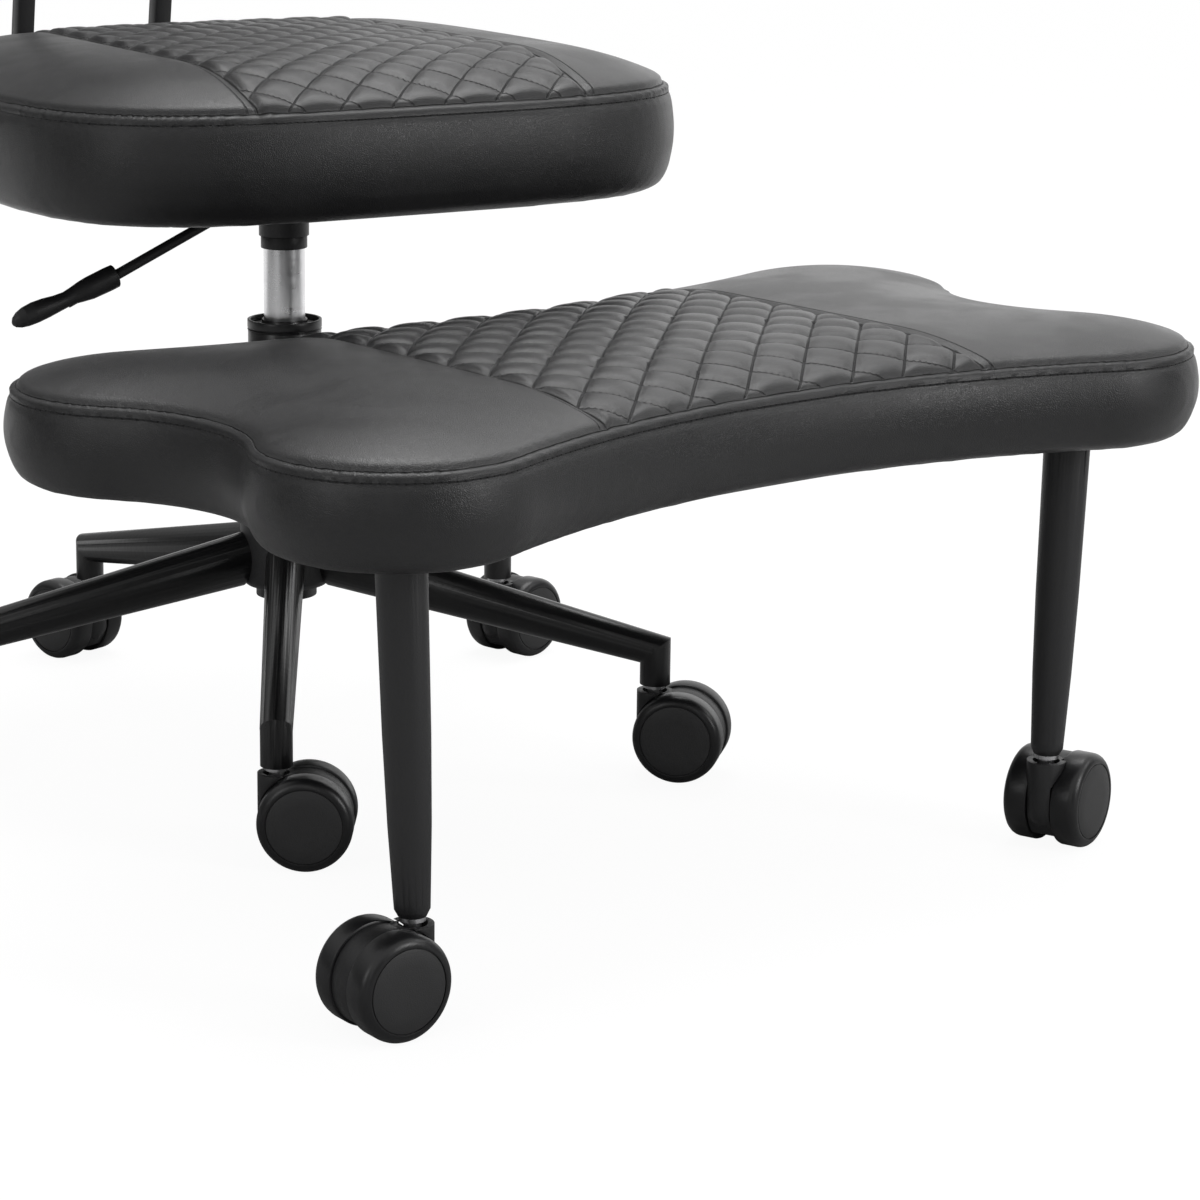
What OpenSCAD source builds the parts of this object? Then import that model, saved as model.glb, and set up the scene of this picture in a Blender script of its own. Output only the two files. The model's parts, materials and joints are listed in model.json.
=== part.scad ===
// Swivel chair for sitting cross-legged: a wide seat on a five-star castor base with a gas lift, and a
// lower quilted bench in front that swings round the column and stands on two castored legs of its own.
// Millimetres. The origin is on the floor under the column's axis, +Z is up and the bench lies towards -Y.
// The seat group is drawn facing -Y and then turned by seat_turn, so that every value of it is square.

/* [Castors] */
// Diameter of each castor wheel
wheel_d = 60; // [50:1:70]
// Width of each castor wheel
wheel_w = 17; // [14:0.5:20]
// Width of the castor hood between its two wheels
hood_w = 15; // [13:0.5:18]
// Distance from the swivel stem's axis to the wheel axle
castor_trail = 19; // [18:0.5:22]
// Diameter of the wheel axle
axle_d = 6; // [4:0.5:7]
// Diameter of the swivel stem inside its socket
stem_d = 11; // [10:0.5:12]
// Diameter of the cup around the swivel stem
cup_d = 24; // [21:0.5:26]

/* [Base] */
// Radius from the column's axis to each base castor's stem
base_reach = 261.5; // [240:1:300]
// Diameter of the hub
hub_d = 63; // [60:1:80]
// Height of the hub
hub_h = 54; // [48:1:70]
// Height of the hub's underside above the castor sockets
hub_rise = 50; // [46:1:70]
// Height of a leg where it leaves the hub
leg_root_h = 39; // [32:1:42]
// Width of a leg where it leaves the hub
leg_root_w = 27.5; // [22:0.5:30]
// Diameter of the leg's end, and of the socket under it
leg_end_d = 20.4; // [18:0.2:24]

/* [Column] */
// Outer diameter of the column
column_d = 50; // [48:1:52]
// Length of the column tube
column_len = 185.5; // [175:0.5:230]
// Diameter of the gas cylinder
gas_d = 28; // [26:0.5:29]
// Length of gas cylinder that shows above the column at rest
chrome_show = 48.8; // [42:0.2:70]
// Diameter of the piston rod
rod_d = 10; // [8:0.5:12]
// Diameter of the collar sleeve under the seat mechanism
sleeve_d = 31.5; // [31:0.1:34]

/* [Seat] */
// Width of the seat
seat_w = 459; // [420:1:480]
// Distance from the column's axis to the seat's front edge
seat_front = 214.5; // [200:0.5:230]
// Distance from the column's axis to the seat's back edge
seat_back = 224; // [210:1:260]
// Height of the seat's side band, from its underside to its seam
seat_band_h = 69.2; // [60:0.2:80]
// Rise of the seat's crown above its seam
seat_crown_h = 24; // [14:0.5:28]
// Angle that the seat is turned to the user's right of the bench
seat_turn = 9; // [0:1:30]
// Height of the seat mechanism, from the collar sleeve to the seat's underside
mech_h = 38.8; // [37:0.2:46]

/* [Lever] */
// Diameter of the lift lever's rod
lever_d = 7; // [6:0.5:8]
// Droop of the lift lever below level
lever_droop = 24.5; // [18:0.5:28]
// Length of the lift lever's sloping stretch, to the end of its grip
lever_len = 186; // [160:1:190]
// Length of the lever's grip
grip_len = 78; // [70:1:90]
// Height of the lever's grip where the rod enters it
grip_h = 16; // [14:0.5:18]

/* [Backrest] */
// Width of the back cushion
back_w = 420; // [360:1:460]
// Height of the back cushion
back_h = 200; // [170:1:230]
// Depth of the back cushion's side band
back_band_h = 42; // [34:1:50]
// Distance between the two back bars' centre lines
bar_gap = 111; // [90:1:160]
// Width of a back bar
bar_w = 14; // [10:0.5:16]
// Depth of a back bar
bar_depth = 14; // [12:0.5:18]
// Distance from the column's axis back to the bars' rise, at seat height
bar_reach = 332; // [300:1:400]

/* [Bench] */
// Radius of the bench cushion's four round lobes
bench_lobe_r = 78; // [60:0.5:85]
// Distance between the centres of the two back lobes
lobe_gap_back = 541; // [500:1:580]
// Distance between the centres of the two front lobes
lobe_gap_front = 509; // [460:1:560]
// Distance from the column's axis forward to the back lobes' centres
lobe_reach = 252.5; // [240:0.5:270]
// Distance from the back lobes' centres forward to the front lobes' centres
lobe_pitch = 219.5; // [200:0.5:240]
// Depth of the hollow in the bench's front edge
front_dip = 51.5; // [40:0.5:70]
// Depth of the hollow in the bench's back edge
rear_dip = 37.5; // [20:0.5:60]
// Depth of the hollow at each side of the bench
waist_dip = 35.5; // [20:0.5:45]
// Height of the bench's side band, from its underside to its seam
bench_band_h = 56; // [45:0.5:65]
// Rise of the bench's crown above its seam
bench_crown_h = 14; // [10:0.5:24]
// Height of the bench's underside above its castor sockets
bench_leg_len = 205.3; // [200:0.5:215]
// Distance of each bench castor's stem inside the centre of its lobe
bench_leg_inside = 7.5; // [0:0.5:20]
// Distance of each bench castor's stem ahead of the centre of its lobe
bench_leg_ahead = 5.5; // [0:0.5:20]
// Diameter of a bench leg at its top
bench_leg_d = 28.6; // [26:0.2:32]
// Lean of each bench leg, outwards to its top
bench_leg_lean = 2.2; // [0:0.1:4]

/* [Quilting] */
// Width of the quilted strip on the bench
bench_quilt_w = 286; // [260:1:330]
// Width of the quilted strip on the seat
seat_quilt_w = 230; // [200:1:280]
// Rise of a quilted cell above its stitched lines
quilt_rise = 5; // [2:0.5:7]

/* [Hidden] */
CASTORS = 7;
LEGS = 5;
$fn = 96;
hull_fn = 32;

// Clearances and the overrun of every cut
run_gap = 0.05;
body_gap = 0.3;
seat_gap = 0.1;
cut = 5;

// Colours
black_gloss = "#1a1b1d";
black_satin = "#2b2c2e";
black_plastic = "#202123";
steel = "#c9ccd0";
leather = "#3a3a3c";
plywood = "#24211e";

// Castor values, from the wheel's own sizes
wheel_r = wheel_d / 2;
wheel_headroom = 2;
socket_z = wheel_d + wheel_headroom;
wheel_gap = 0.5;
wheel_in = hood_w / 2 + wheel_gap;
wheel_round = 6;
wheel_edge = 1.5;
wheel_wall = 4;
wheel_web = 7;
wheel_boss = 6;
disc_share = 0.78;
disc_groove = 0.7;
axle_grip = 12;
hood_clear = 0.8;
fender_gap = 1.5;
fender_t = 3.2;
web_t = 4;
boss_d = axle_d * 2;
notch_z = 9;
web_notch_z = 13.5;
cup_drop = 4.5;
cup_top = socket_z - cup_drop;
cup_share = 0.45;
cup_z = cup_top * cup_share;
recess_share = 0.7;
recess_d = cup_d * recess_share;
recess_h = 4;
pin_step = 1;
pin_floor = 3.5;
pin_room = 1;
pin_d = stem_d - pin_step;
pin_z = cup_z + pin_floor;
stem_up = 22;
stem_collar_d = 15;
stem_collar_h = 2.4;
castor_turns = [102, 60, -40, -52, 11, 178, 18];

// Base and column values
leg_first = 90;
leg_step = 360 / LEGS;
hub_z = socket_z + hub_rise;
hub_top = hub_z + hub_h;
hub_edge = 4;
leg_weld = 0.05;
leg_root_share = 0.44;
leg_root_z = hub_z + hub_h * leg_root_share;
leg_end_rise = 21.3;
leg_end_z = socket_z + leg_end_rise;
leg_end_top = 10.8;
leg_wall = 2;
slice_t = 0.2;
leg_inside = 8;
stem_room = 1;
socket_depth = stem_up + stem_room;
column_drop = 8;
column_z = hub_z - column_drop;
column_top = column_z + column_len;
column_foot_d = 41.8;
column_wall = 2;
foot_plate_rise = 6;
foot_plate_z = column_z + foot_plate_rise;
foot_plate_t = 3;
bushing_lip = 7.2;
bushing_top = column_top + bushing_lip;
bushing_over = 0.35;
bushing_lip_d = column_d + 2 * bushing_over;
bushing_wall = 1.5;
bushing_rim = 2;
bushing_weld = 1;
bushing_len = 59;
bushing_dish = 3;
bushing_groove = 0.8;
sleeve_z = bushing_top + chrome_show;
sleeve_h = 8.5;
sleeve_top = sleeve_z + sleeve_h;

// Rod, bearing and cylinder values
bearing_z = foot_plate_z + foot_plate_t;
race_t = 2;
race_d = 28;
ball_d = 4;
ball_ring_d = 19;
ball_count = 8;
ball_sink = 0.4;
bearing_top = bearing_z + race_t * 2 + ball_d - ball_sink * 2;
rod_flange_d = 20;
rod_flange_t = 3;
rod_foot = 1;
rod_z = column_z + rod_foot;
clip_t = 2.5;
clip_d = 22;
clip_groove = 1;
clip_groove_d = rod_d - 2 * clip_groove;
clip_z = foot_plate_z - seat_gap - clip_t;
lift_down = 35;
lift_up = 65;
down_room = 6;
up_room = 2;
cylinder_z = bearing_top + rod_flange_t + lift_down + down_room;
gland_t = 8;
cylinder_wall = 2;
piston_z = cylinder_z + gland_t + lift_up + up_room;
piston_t = 8;
piston_gap = 0.08;
taper_in = 0.75;
taper_top_d = gas_d - 2 * taper_in;
taper_h = 17;
cylinder_top = sleeve_top + taper_h;
cylinder_cap_t = 10;

// Seat values
seat_under = sleeve_top + mech_h;
seat_power = 3.7;
seat_crown_run = 100;
board_t = 12;
board_inset = 17;
plate_t = 4;
plate_w = 160;
plate_l = 200;
box_w = 56;
box_l = 60;
box_wall = 3;
box_rise = 12;
box_z = sleeve_top + box_rise;
socket_d = 34;
lever_drop = 5.3;
lever_z = seat_under - plate_t - lever_d / 2 - lever_drop;
pivot_x = -22;
bend_x = -25;
lever_in = 8;
pivot_d = 5;
ear_gap = 16;
ear_t = 3;
ear_l = 12;
ear_shift = 1;
lever_slot = 10;
grip_lift = 4;
grip_bite = 38;
grip_hump = 1;
grip_flat = 0.6;
grip_end_share = 0.94;

// Stations of the grip: place along it, height and width as shares, and 1 where it humps upwards
grip_stations = [[0, 1, 0.8, 0], [0.3, 0.98, 0.8, 0], [0.5, 0.72, 0.75, 0], [0.72, 0.95, 0.7, 1]];
valve_d = 6;
valve_len = 18;
valve_top = lever_z - lever_d / 2 - seat_gap;
screw_d = 6;
screw_head_d = 11;
screw_head_h = 4;
screw_bite_len = 9;
screw_play = 0.3;
screw_hole_d = screw_d + 2 * screw_play;
plate_screw_pitch_x = 130;
plate_screw_pitch_y = 170;

// Back bar and backrest values, along a bar from its root under the seat
bar_round = 2;
bar_bend_steps = 10;
bar_bend2_steps = 3;
bar_root_y = 112;
bar_z = seat_under - bar_depth / 2;
bar_bend_r = 60;
bar_bend_turn = 99.5;
bar_lean = bar_bend_turn - 90;
bar_check_rise = 29;
bar_level_y = bar_reach - bar_bend_r * sin(bar_bend_turn) + bar_check_rise * tan(bar_lean);
bar_level = bar_level_y - bar_root_y;
bar_rise = 106;
bar_bend2_r = 80;
bar_bend2_turn = 15.5;
bar_post = 190;
bar_screw_in = 16;
bar_screw_pitch = 60;
back_mid = 106;
back_power = 3.6;
back_crown_h = 13;
back_bow = 22;
back_flat = bar_gap / 2 + bar_w;
back_board_t = 9;
back_screw_pitch = 90;
back_screw_share = 0.7;

// Bench values
bench_under = socket_z + bench_leg_len;
collar_d = 66;
collar_drop = 11.3;
collar_top = bench_under - collar_drop;
swing_gap = 0.075;
arm_w = 50;
arm_h = 30;
arm_wall = 2.5;
arm_front = 335;
foot_l = 180;
foot_w = 200;
foot_reach = 222;
bench_screw_pitch_x = 160;
bench_screw_pitch_y = 140;
bench_leg_end_d = 20;
bench_leg_tip_d = 16;
bench_leg_tip_h = 4;
stud_d = 8;
stud_h = 10;
leg_low_at = 0.25;
leg_low_share = 0.84;
leg_mid_at = 0.5;
leg_mid_share = 0.926;

// Cushion grids: columns across half the quilted strip and each wing, and rows from back to front
bench_grid = [7, 5, 14];
seat_grid = [6, 4, 24];
back_grid = [4, 4, 10];
crown_run = 80;
seam_swell = 1.2;
seam_drop = 5;
side_swell = 3.2;
side_share = 0.62;
low_swell = 1.5;
low_share = 0.3;
hem_inset = 3;
hem_h = 6;
rim_inset = 11;

// Angles round an outline: its front, and where the bench's hollows and lobes begin
FRONT = 90;
HALF = 180;
FULL = 360;
hollow_from = 65;
lobe_from = 25;
hollow_span = FRONT - hollow_from;
lobe_span = hollow_from - lobe_from;

// A point of a unit superellipse at angle t, 0 at the user's left side and 90 at the front
function power_of(v, n) = sign(v) * pow(abs(v), 2 / n);
function unit(t, n) = [power_of(cos(t), n), power_of(sin(t), n)];

// Outlines, as [across, forward] of an angle
// The bench is four round lobes joined by hollow arcs, and its half outline runs through five arcs
function hollow_r(gap, dip) =
    let (rise = bench_lobe_r - dip)
    (gap * gap / 4 + rise * rise - bench_lobe_r * bench_lobe_r) / (2 * dip);
function angle_of(v) = atan2(v[1], v[0]);
front_lobe = [lobe_gap_front / 2, lobe_reach + lobe_pitch];
rear_lobe = [lobe_gap_back / 2, lobe_reach];
bench_leg_out = front_lobe[0] - bench_leg_inside;
bench_leg_reach = front_lobe[1] + bench_leg_ahead;
front_hollow_r = hollow_r(lobe_gap_front, front_dip);
rear_hollow_r = hollow_r(lobe_gap_back, rear_dip);
front_hollow = [0, front_lobe[1] + bench_lobe_r - front_dip + front_hollow_r];
rear_hollow = [0, rear_lobe[1] - bench_lobe_r + rear_dip - rear_hollow_r];
lobe_way = front_lobe - rear_lobe;
waist_r = hollow_r(norm(lobe_way), waist_dip);
waist = (front_lobe + rear_lobe) / 2
    + [lobe_way[1], -lobe_way[0]] / norm(lobe_way) * (bench_lobe_r - waist_dip + waist_r);
to_front = angle_of(front_lobe - front_hollow);
to_rear = angle_of(rear_lobe - rear_hollow);
to_front_waist = angle_of(front_lobe - waist);
to_rear_waist = angle_of(rear_lobe - waist) + FULL;
function arc_point(centre, r, low, high, share) =
    let (a = low + (high - low) * share)
    centre + r * [cos(a), sin(a)];
function bench_half(t) =
    t > hollow_from ? arc_point(front_hollow, front_hollow_r, -FRONT, to_front, (FRONT - t) / hollow_span) :
    t > lobe_from ? arc_point(front_lobe, bench_lobe_r, to_front + HALF, to_front_waist - HALF,
                              (hollow_from - t) / lobe_span) :
    t > -lobe_from ? arc_point(waist, waist_r, to_front_waist, to_rear_waist,
                               (lobe_from - t) / (2 * lobe_from)) :
    t > -hollow_from ? arc_point(rear_lobe, bench_lobe_r, to_rear_waist - HALF, to_rear - HALF,
                                 (-lobe_from - t) / lobe_span) :
    arc_point(rear_hollow, rear_hollow_r, to_rear, FRONT, (-hollow_from - t) / hollow_span);
bench_outline = function(t) bench_half(t);
seat_outline = function(t)
    let (u = unit(t, seat_power))
    [seat_w / 2 * u[0], (seat_front - seat_back) / 2 + (seat_front + seat_back) / 2 * u[1]];
back_outline = function(t)
    let (u = unit(t, back_power))
    [back_w / 2 * u[0], back_h / 2 * u[1]];

// The angle between low and high at which an outline lies x across
function angle_at(f, x, low, high, steps = 24) =
    steps == 0 ? (low + high) / 2 :
    let (mid = (low + high) / 2)
    f(mid)[0] > x ? angle_at(f, x, mid, high, steps - 1) : angle_at(f, x, low, mid, steps - 1);

// The angles of the outline's front and back points that lie x across
function front_at(f, x) = angle_at(f, x, 45, 90);
function back_at(f, x) = -angle_at(function(t) f(-t), x, 45, 90);

// One grid point: straight columns in the quilted strip, and a patch between four curves in the wings
function strip_point(f, x, q) =
    let (back = f(back_at(f, x)), front = f(front_at(f, x)))
    back + (front - back) * q;
function wing_point(f, strip, p, q) =
    let (tf = front_at(f, strip), tb = back_at(f, strip),
         back = f(tb + (-45 - tb) * p), front = f(tf + (45 - tf) * p),
         side = f(-45 + 90 * q), inner = f(tb) + (f(tf) - f(tb)) * q,
         corners = (f(tb) * (1 - q) + f(tf) * q) * (1 - p) + (f(-45) * (1 - q) + f(45) * q) * p)
    back * (1 - q) + front * q + inner * (1 - p) + side * p - corners;
function grid_point(f, strip, grid, i, j) =
    let (k = abs(i), q = j / grid[2],
         v = k <= grid[0] ? strip_point(f, strip * k / grid[0], q)
                          : wing_point(f, strip, (k - grid[0]) / grid[1], q))
    [i < 0 ? -v[0] : v[0], -v[1]];

// The rise of the crown at a distance d from the edge, full at a distance run
function rise(d, run) = 1 - pow(1 - min(1, d / run), 2);

// The outline as a loop of grid points, clockwise seen from above, and the loop moved outwards by d
function loop_of(f, strip, grid) =
    let (n = grid[0] + grid[1], rows = grid[2])
    concat([for (i = [-n:n - 1]) grid_point(f, strip, grid, i, 0)],
           [for (j = [0:rows - 1]) grid_point(f, strip, grid, n, j)],
           [for (i = [n:-1:-n + 1]) grid_point(f, strip, grid, i, rows)],
           [for (j = [rows:-1:1]) grid_point(f, strip, grid, -n, j)]);
function moved(loop, d) =
    let (n = len(loop))
    [for (k = [0:n - 1])
        let (way = loop[(k + 1) % n] - loop[(k + n - 1) % n], long = norm(way))
        loop[k] + d * [-way[1], way[0]] / long];

// How far a place x across is bowed forwards, flat between the back bars and bow at the outer ends
function bowed(x, wide, bow) = bow * pow(max(0, abs(x) - back_flat) / (wide - back_flat), 2);

// A sewn cushion with its underside at z = 0: crowned and quilted top, bulging sides, a pocket for its
// board, and the whole bowed forwards at its two ends by bow
module cushion(f, strip, grid, side, crown, pocket, run = crown_run, bow = 0) {
    n = grid[0] + grid[1];
    rows = grid[2];
    wide = f(0)[0];
    across = 2 * n + 1;
    loop = loop_of(f, strip, grid);
    count = len(loop);
    rings = [[seam_swell, side - seam_drop], [side_swell, side * side_share], [low_swell, side * low_share],
             [-hem_inset, hem_h], [-rim_inset, 0], [-board_inset, 0], [-board_inset, pocket]];
    top = [for (i = [-n:n]) for (j = [0:rows])
        let (p = grid_point(f, strip, grid, i, j),
             in_x = wide * (n - abs(i)) / n,
             in_y = norm(f(90) - f(-90)) * min(j, rows - j) / rows,
             strip_here = abs(i) <= grid[0] && j > 0 && j < rows,
             puff = !strip_here ? 0 : (i + j + n) % 2 == 0 ? -quilt_rise / 2 : quilt_rise / 2)
        [p[0], p[1], side + crown * rise(in_x, run) * rise(in_y, run) + puff + bowed(p[0], wide, bow)]];
    walls = [for (r = rings) for (p = moved(loop, r[0])) [p[0], p[1], r[1] + bowed(p[0], wide, bow)]];
    centre = [0, -(f(90)[1] + f(-90)[1]) / 2, pocket];
    at = function(i, j) (i + n) * (rows + 1) + j;
    edge = concat([for (i = [-n:n - 1]) at(i, 0)], [for (j = [0:rows - 1]) at(n, j)],
                  [for (i = [n:-1:-n + 1]) at(i, rows)], [for (j = [rows:-1:1]) at(-n, j)]);
    base = len(top);
    ring = function(r, k) r < 0 ? edge[k % count] : base + r * count + k % count;
    last = base + len(walls);
    tops = [for (i = [-n:n - 1]) for (j = [0:rows - 1])
        each (i + j + n) % 2 == 0
            ? [[at(i, j), at(i + 1, j), at(i + 1, j + 1)], [at(i, j), at(i + 1, j + 1), at(i, j + 1)]]
            : [[at(i, j), at(i + 1, j), at(i, j + 1)], [at(i + 1, j), at(i + 1, j + 1), at(i, j + 1)]]];
    sides = [for (r = [-1:len(rings) - 2]) for (k = [0:count - 1])
        each [[ring(r, k + 1), ring(r, k), ring(r + 1, k)],
              [ring(r, k + 1), ring(r + 1, k), ring(r + 1, k + 1)]]];
    under = [for (k = [0:count - 1]) [ring(len(rings) - 1, k + 1), ring(len(rings) - 1, k), last]];
    polyhedron(concat(top, walls, [centre]), concat(tops, sides, under), convexity = 6);
}

// A flat board that fills a cushion's pocket
module board(f, strip, grid, thick) {
    linear_extrude(thick)
        polygon([for (p = moved(loop_of(f, strip, grid), -board_inset - body_gap)) p]);
}

module ring_of(outer, inner, height) {
    difference() {
        cylinder(d = outer, h = height);
        translate([0, 0, -cut]) cylinder(d = inner, h = height + 2 * cut);
    }
}

// Places: each castor's stem on the floor plan, turned to its trail, and the seat's own square frame
function stem_at(i) =
    i <= LEGS ? base_reach * [cos(leg_angle(i)), sin(leg_angle(i))]
              : [(i == LEGS + 1 ? -1 : 1) * bench_leg_out, -bench_leg_reach];
function leg_angle(i) = leg_first + (i - 1) * leg_step;
module at_castor(i) {
    translate([stem_at(i)[0], stem_at(i)[1], 0]) rotate([0, 0, castor_turns[i - 1]]) children();
}
module in_seat() {
    rotate([0, 0, -seat_turn]) children();
}

// Castor pieces. The stem is at the origin, the axle lies castor_trail along +X, the wheels at +Y and -Y
module castor_hood() {
    fender_r = wheel_r - fender_gap;
    color(black_plastic) difference() {
        union() {
            translate([castor_trail, hood_w / 2, wheel_r]) rotate([90, 0, 0]) difference() {
                cylinder(r = fender_r, h = hood_w);
                translate([0, 0, -cut]) cylinder(r = fender_r - fender_t, h = hood_w + 2 * cut);
                translate([-wheel_d, -wheel_d - wheel_r + notch_z, -cut])
                    cube([2 * wheel_d, wheel_d, hood_w + 2 * cut]);
            }
            translate([castor_trail, web_t / 2, wheel_r]) rotate([90, 0, 0]) difference() {
                cylinder(r = fender_r - fender_t / 2, h = web_t);
                translate([-wheel_d, -wheel_d - wheel_r + web_notch_z, -cut])
                    cube([2 * wheel_d, wheel_d, web_t + 2 * cut]);
            }
            translate([castor_trail, 0, wheel_r]) rotate([90, 0, 0])
                cylinder(d = boss_d, h = hood_w, center = true);
            translate([0, 0, cup_z]) cylinder(d = cup_d, h = cup_top - cup_z);
            translate([0, 0, cup_z]) sphere(d = cup_d);
        }
        for (side = [-1, 1])
            translate([castor_trail, side * (wheel_d + hood_w) / 2, wheel_r]) rotate([90, 0, 0])
                cylinder(r = wheel_r + hood_clear, h = wheel_d, center = true);
        translate([castor_trail, 0, wheel_r]) rotate([90, 0, 0])
            cylinder(d = axle_d + 2 * run_gap, h = hood_w + 2 * cut, center = true);
        translate([0, 0, pin_z - pin_room]) cylinder(d = pin_d + 2 * run_gap, h = cup_top);
        translate([0, 0, cup_top - recess_h]) cylinder(d = recess_d, h = recess_h + cut);
    }
}

module castor_axle() {
    color(steel) translate([castor_trail, 0, wheel_r]) rotate([90, 0, 0])
        cylinder(d = axle_d, h = 2 * (wheel_in + axle_grip - wheel_gap), center = true);
}

// A wheel's half section, from its inner face at x = 0 to its outer face: rim, web, boss and disc groove
module wheel_section() {
    difference() {
        union() {
            square([wheel_r - wheel_round, wheel_w]);
            translate([0, wheel_edge]) square([wheel_r, wheel_w - wheel_round - wheel_edge]);
            square([wheel_r - wheel_edge, wheel_w - wheel_round]);
            translate([wheel_r - wheel_round, wheel_w - wheel_round]) circle(r = wheel_round);
            translate([wheel_r - wheel_edge, wheel_edge]) circle(r = wheel_edge);
        }
        translate([-cut, -cut]) square([axle_d / 2 + run_gap + cut, axle_grip + cut]);
        translate([wheel_boss, -cut]) square([wheel_r - wheel_wall - wheel_boss, wheel_w - wheel_web + cut]);
        translate([wheel_r * disc_share, wheel_w - disc_groove]) square([disc_groove, cut]);
        translate([-wheel_d, -cut]) square([wheel_d, wheel_w + 2 * cut]);
    }
}

module castor_wheel(side) {
    color(black_gloss) translate([castor_trail, side * wheel_in, wheel_r])
        rotate([-side * 90, 0, 0]) rotate_extrude() wheel_section();
}

// A swivel stem: barrel in the socket, bright collar under it, and the pin in the hood
module castor_stem(i) {
    color(steel) translate([stem_at(i)[0], stem_at(i)[1], 0]) {
        translate([0, 0, socket_z]) cylinder(d = stem_d, h = stem_up);
        translate([0, 0, socket_z - seat_gap - stem_collar_h])
            cylinder(d = stem_collar_d, h = stem_collar_h);
        translate([0, 0, pin_z]) cylinder(d = pin_d, h = socket_z - pin_z + cut);
    }
}
module base_castor_stems() {
    for (i = [1:LEGS]) castor_stem(i);
}
module bench_castor_stems() {
    for (i = [LEGS + 1:CASTORS]) castor_stem(i);
}

// Base
module base_hub() {
    color(black_gloss) difference() {
        rotate_extrude() polygon([
            [0, hub_z], [hub_d / 2 - hub_edge, hub_z], [hub_d / 2, hub_z + hub_edge],
            [hub_d / 2, hub_top - hub_edge / 2], [hub_d / 2 - hub_edge / 2, hub_top], [0, hub_top]]);
        rotate_extrude() column_profile(run_gap);
    }
}

module leg_slice(x, z, wide, tall) {
    translate([x, 0, z]) rotate([0, 90, 0]) scale([tall / wide, 1, 1])
        cylinder(d = wide, h = slice_t, $fn = hull_fn);
}
module leg_body(shrink) {
    hull() {
        leg_slice(leg_inside, leg_root_z, leg_root_w - 2 * shrink, leg_root_h - 2 * shrink);
        leg_slice(base_reach + leg_end_d / 2 - slice_t - shrink, leg_end_z,
                  leg_end_d - 2 * shrink, 2 * leg_end_top - 2 * shrink);
    }
}
module base_leg(i) {
    color(black_gloss) rotate([0, 0, leg_angle(i)]) difference() {
        union() {
            difference() {
                leg_body(0);
                leg_body(leg_wall);
                difference() {
                    translate([base_reach, -wheel_d, socket_z]) cube([wheel_d, 2 * wheel_d, wheel_d]);
                    translate([base_reach, 0, socket_z - cut])
                        cylinder(d = leg_end_d, h = wheel_d + 2 * cut);
                }
            }
            translate([base_reach, 0, socket_z])
                cylinder(d = leg_end_d, h = leg_end_z - socket_z + leg_end_top / 2);
        }
        translate([base_reach, 0, socket_z - cut])
            cylinder(d = stem_d + 2 * run_gap, h = socket_depth + cut);
        cylinder(d = hub_d + 2 * leg_weld, h = hub_top + cut);
    }
}

// The column's outer half section, straight above the hub and tapered inside it
module column_profile(grow) {
    polygon([[0, column_z - cut], [column_foot_d / 2 + grow, column_z - cut],
             [column_foot_d / 2 + grow, hub_z], [column_d / 2 + grow, hub_top],
             [column_d / 2 + grow, column_top], [0, column_top]]);
}
module column_tube() {
    color(black_gloss) difference() {
        rotate_extrude() intersection() {
            column_profile(0);
            translate([0, column_z]) square([column_d, column_len]);
        }
        rotate_extrude() difference() {
            translate([0, -cut]) column_profile(-column_wall);
            translate([0, foot_plate_z]) square([column_d, foot_plate_t]);
        }
        translate([0, 0, column_z]) cylinder(d = rod_d + 2 * run_gap, h = foot_plate_z);
        translate([0, 0, column_top - 2 * cut]) cylinder(d = column_d - 2 * column_wall, h = 3 * cut);
    }
}
module column_bushing() {
    color(black_plastic) rotate_extrude() difference() {
        union() {
            translate([0, column_top]) square([bushing_lip_d / 2, bushing_lip]);
            translate([0, column_top - bushing_len])
                square([column_d / 2 - column_wall - run_gap, bushing_len + bushing_weld]);
        }
        translate([-cut, column_top - bushing_len - cut])
            square([gas_d / 2 + run_gap + cut, bushing_len + bushing_lip + 2 * cut]);
        translate([gas_d / 2 + bushing_wall, bushing_top - bushing_dish])
            square([(bushing_lip_d - gas_d) / 2 - bushing_wall - bushing_rim, bushing_dish + cut]);
        translate([bushing_lip_d / 2 - bushing_groove, column_top + bushing_groove])
            square([bushing_groove + cut, bushing_groove]);
    }
}

// Gas lift. The rod hangs in the column's foot on its bearing, and the cylinder slides on the rod
module thrust_bearing() {
    color(steel) {
        for (z = [bearing_z, bearing_top - race_t]) translate([0, 0, z]) difference() {
            cylinder(d = race_d, h = race_t);
            translate([0, 0, -cut]) cylinder(d = rod_d + 2 * run_gap, h = race_t + 2 * cut);
            translate([0, 0, z == bearing_z ? race_t : 0]) rotate_extrude()
                translate([ball_ring_d / 2, (z == bearing_z ? 1 : -1) * (ball_d / 2 - ball_sink)])
                    circle(d = ball_d + 2 * run_gap);
        }
        for (k = [1:ball_count]) rotate([0, 0, 360 * k / ball_count])
            translate([ball_ring_d / 2, 0, bearing_z + race_t + ball_d / 2 - ball_sink]) sphere(d = ball_d);
    }
}
module gas_rod() {
    color(steel) difference() {
        union() {
            translate([0, 0, rod_z]) cylinder(d = rod_d, h = piston_z - rod_z + piston_t / 2);
            translate([0, 0, bearing_top + run_gap]) cylinder(d = rod_flange_d, h = rod_flange_t);
            translate([0, 0, piston_z])
                cylinder(d = gas_d - 2 * cylinder_wall - 2 * piston_gap, h = piston_t);
        }
        translate([0, 0, clip_z]) difference() {
            cylinder(d = rod_d + cut, h = clip_t);
            translate([0, 0, -cut]) cylinder(d = clip_groove_d, h = clip_t + 2 * cut);
        }
    }
}
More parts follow.
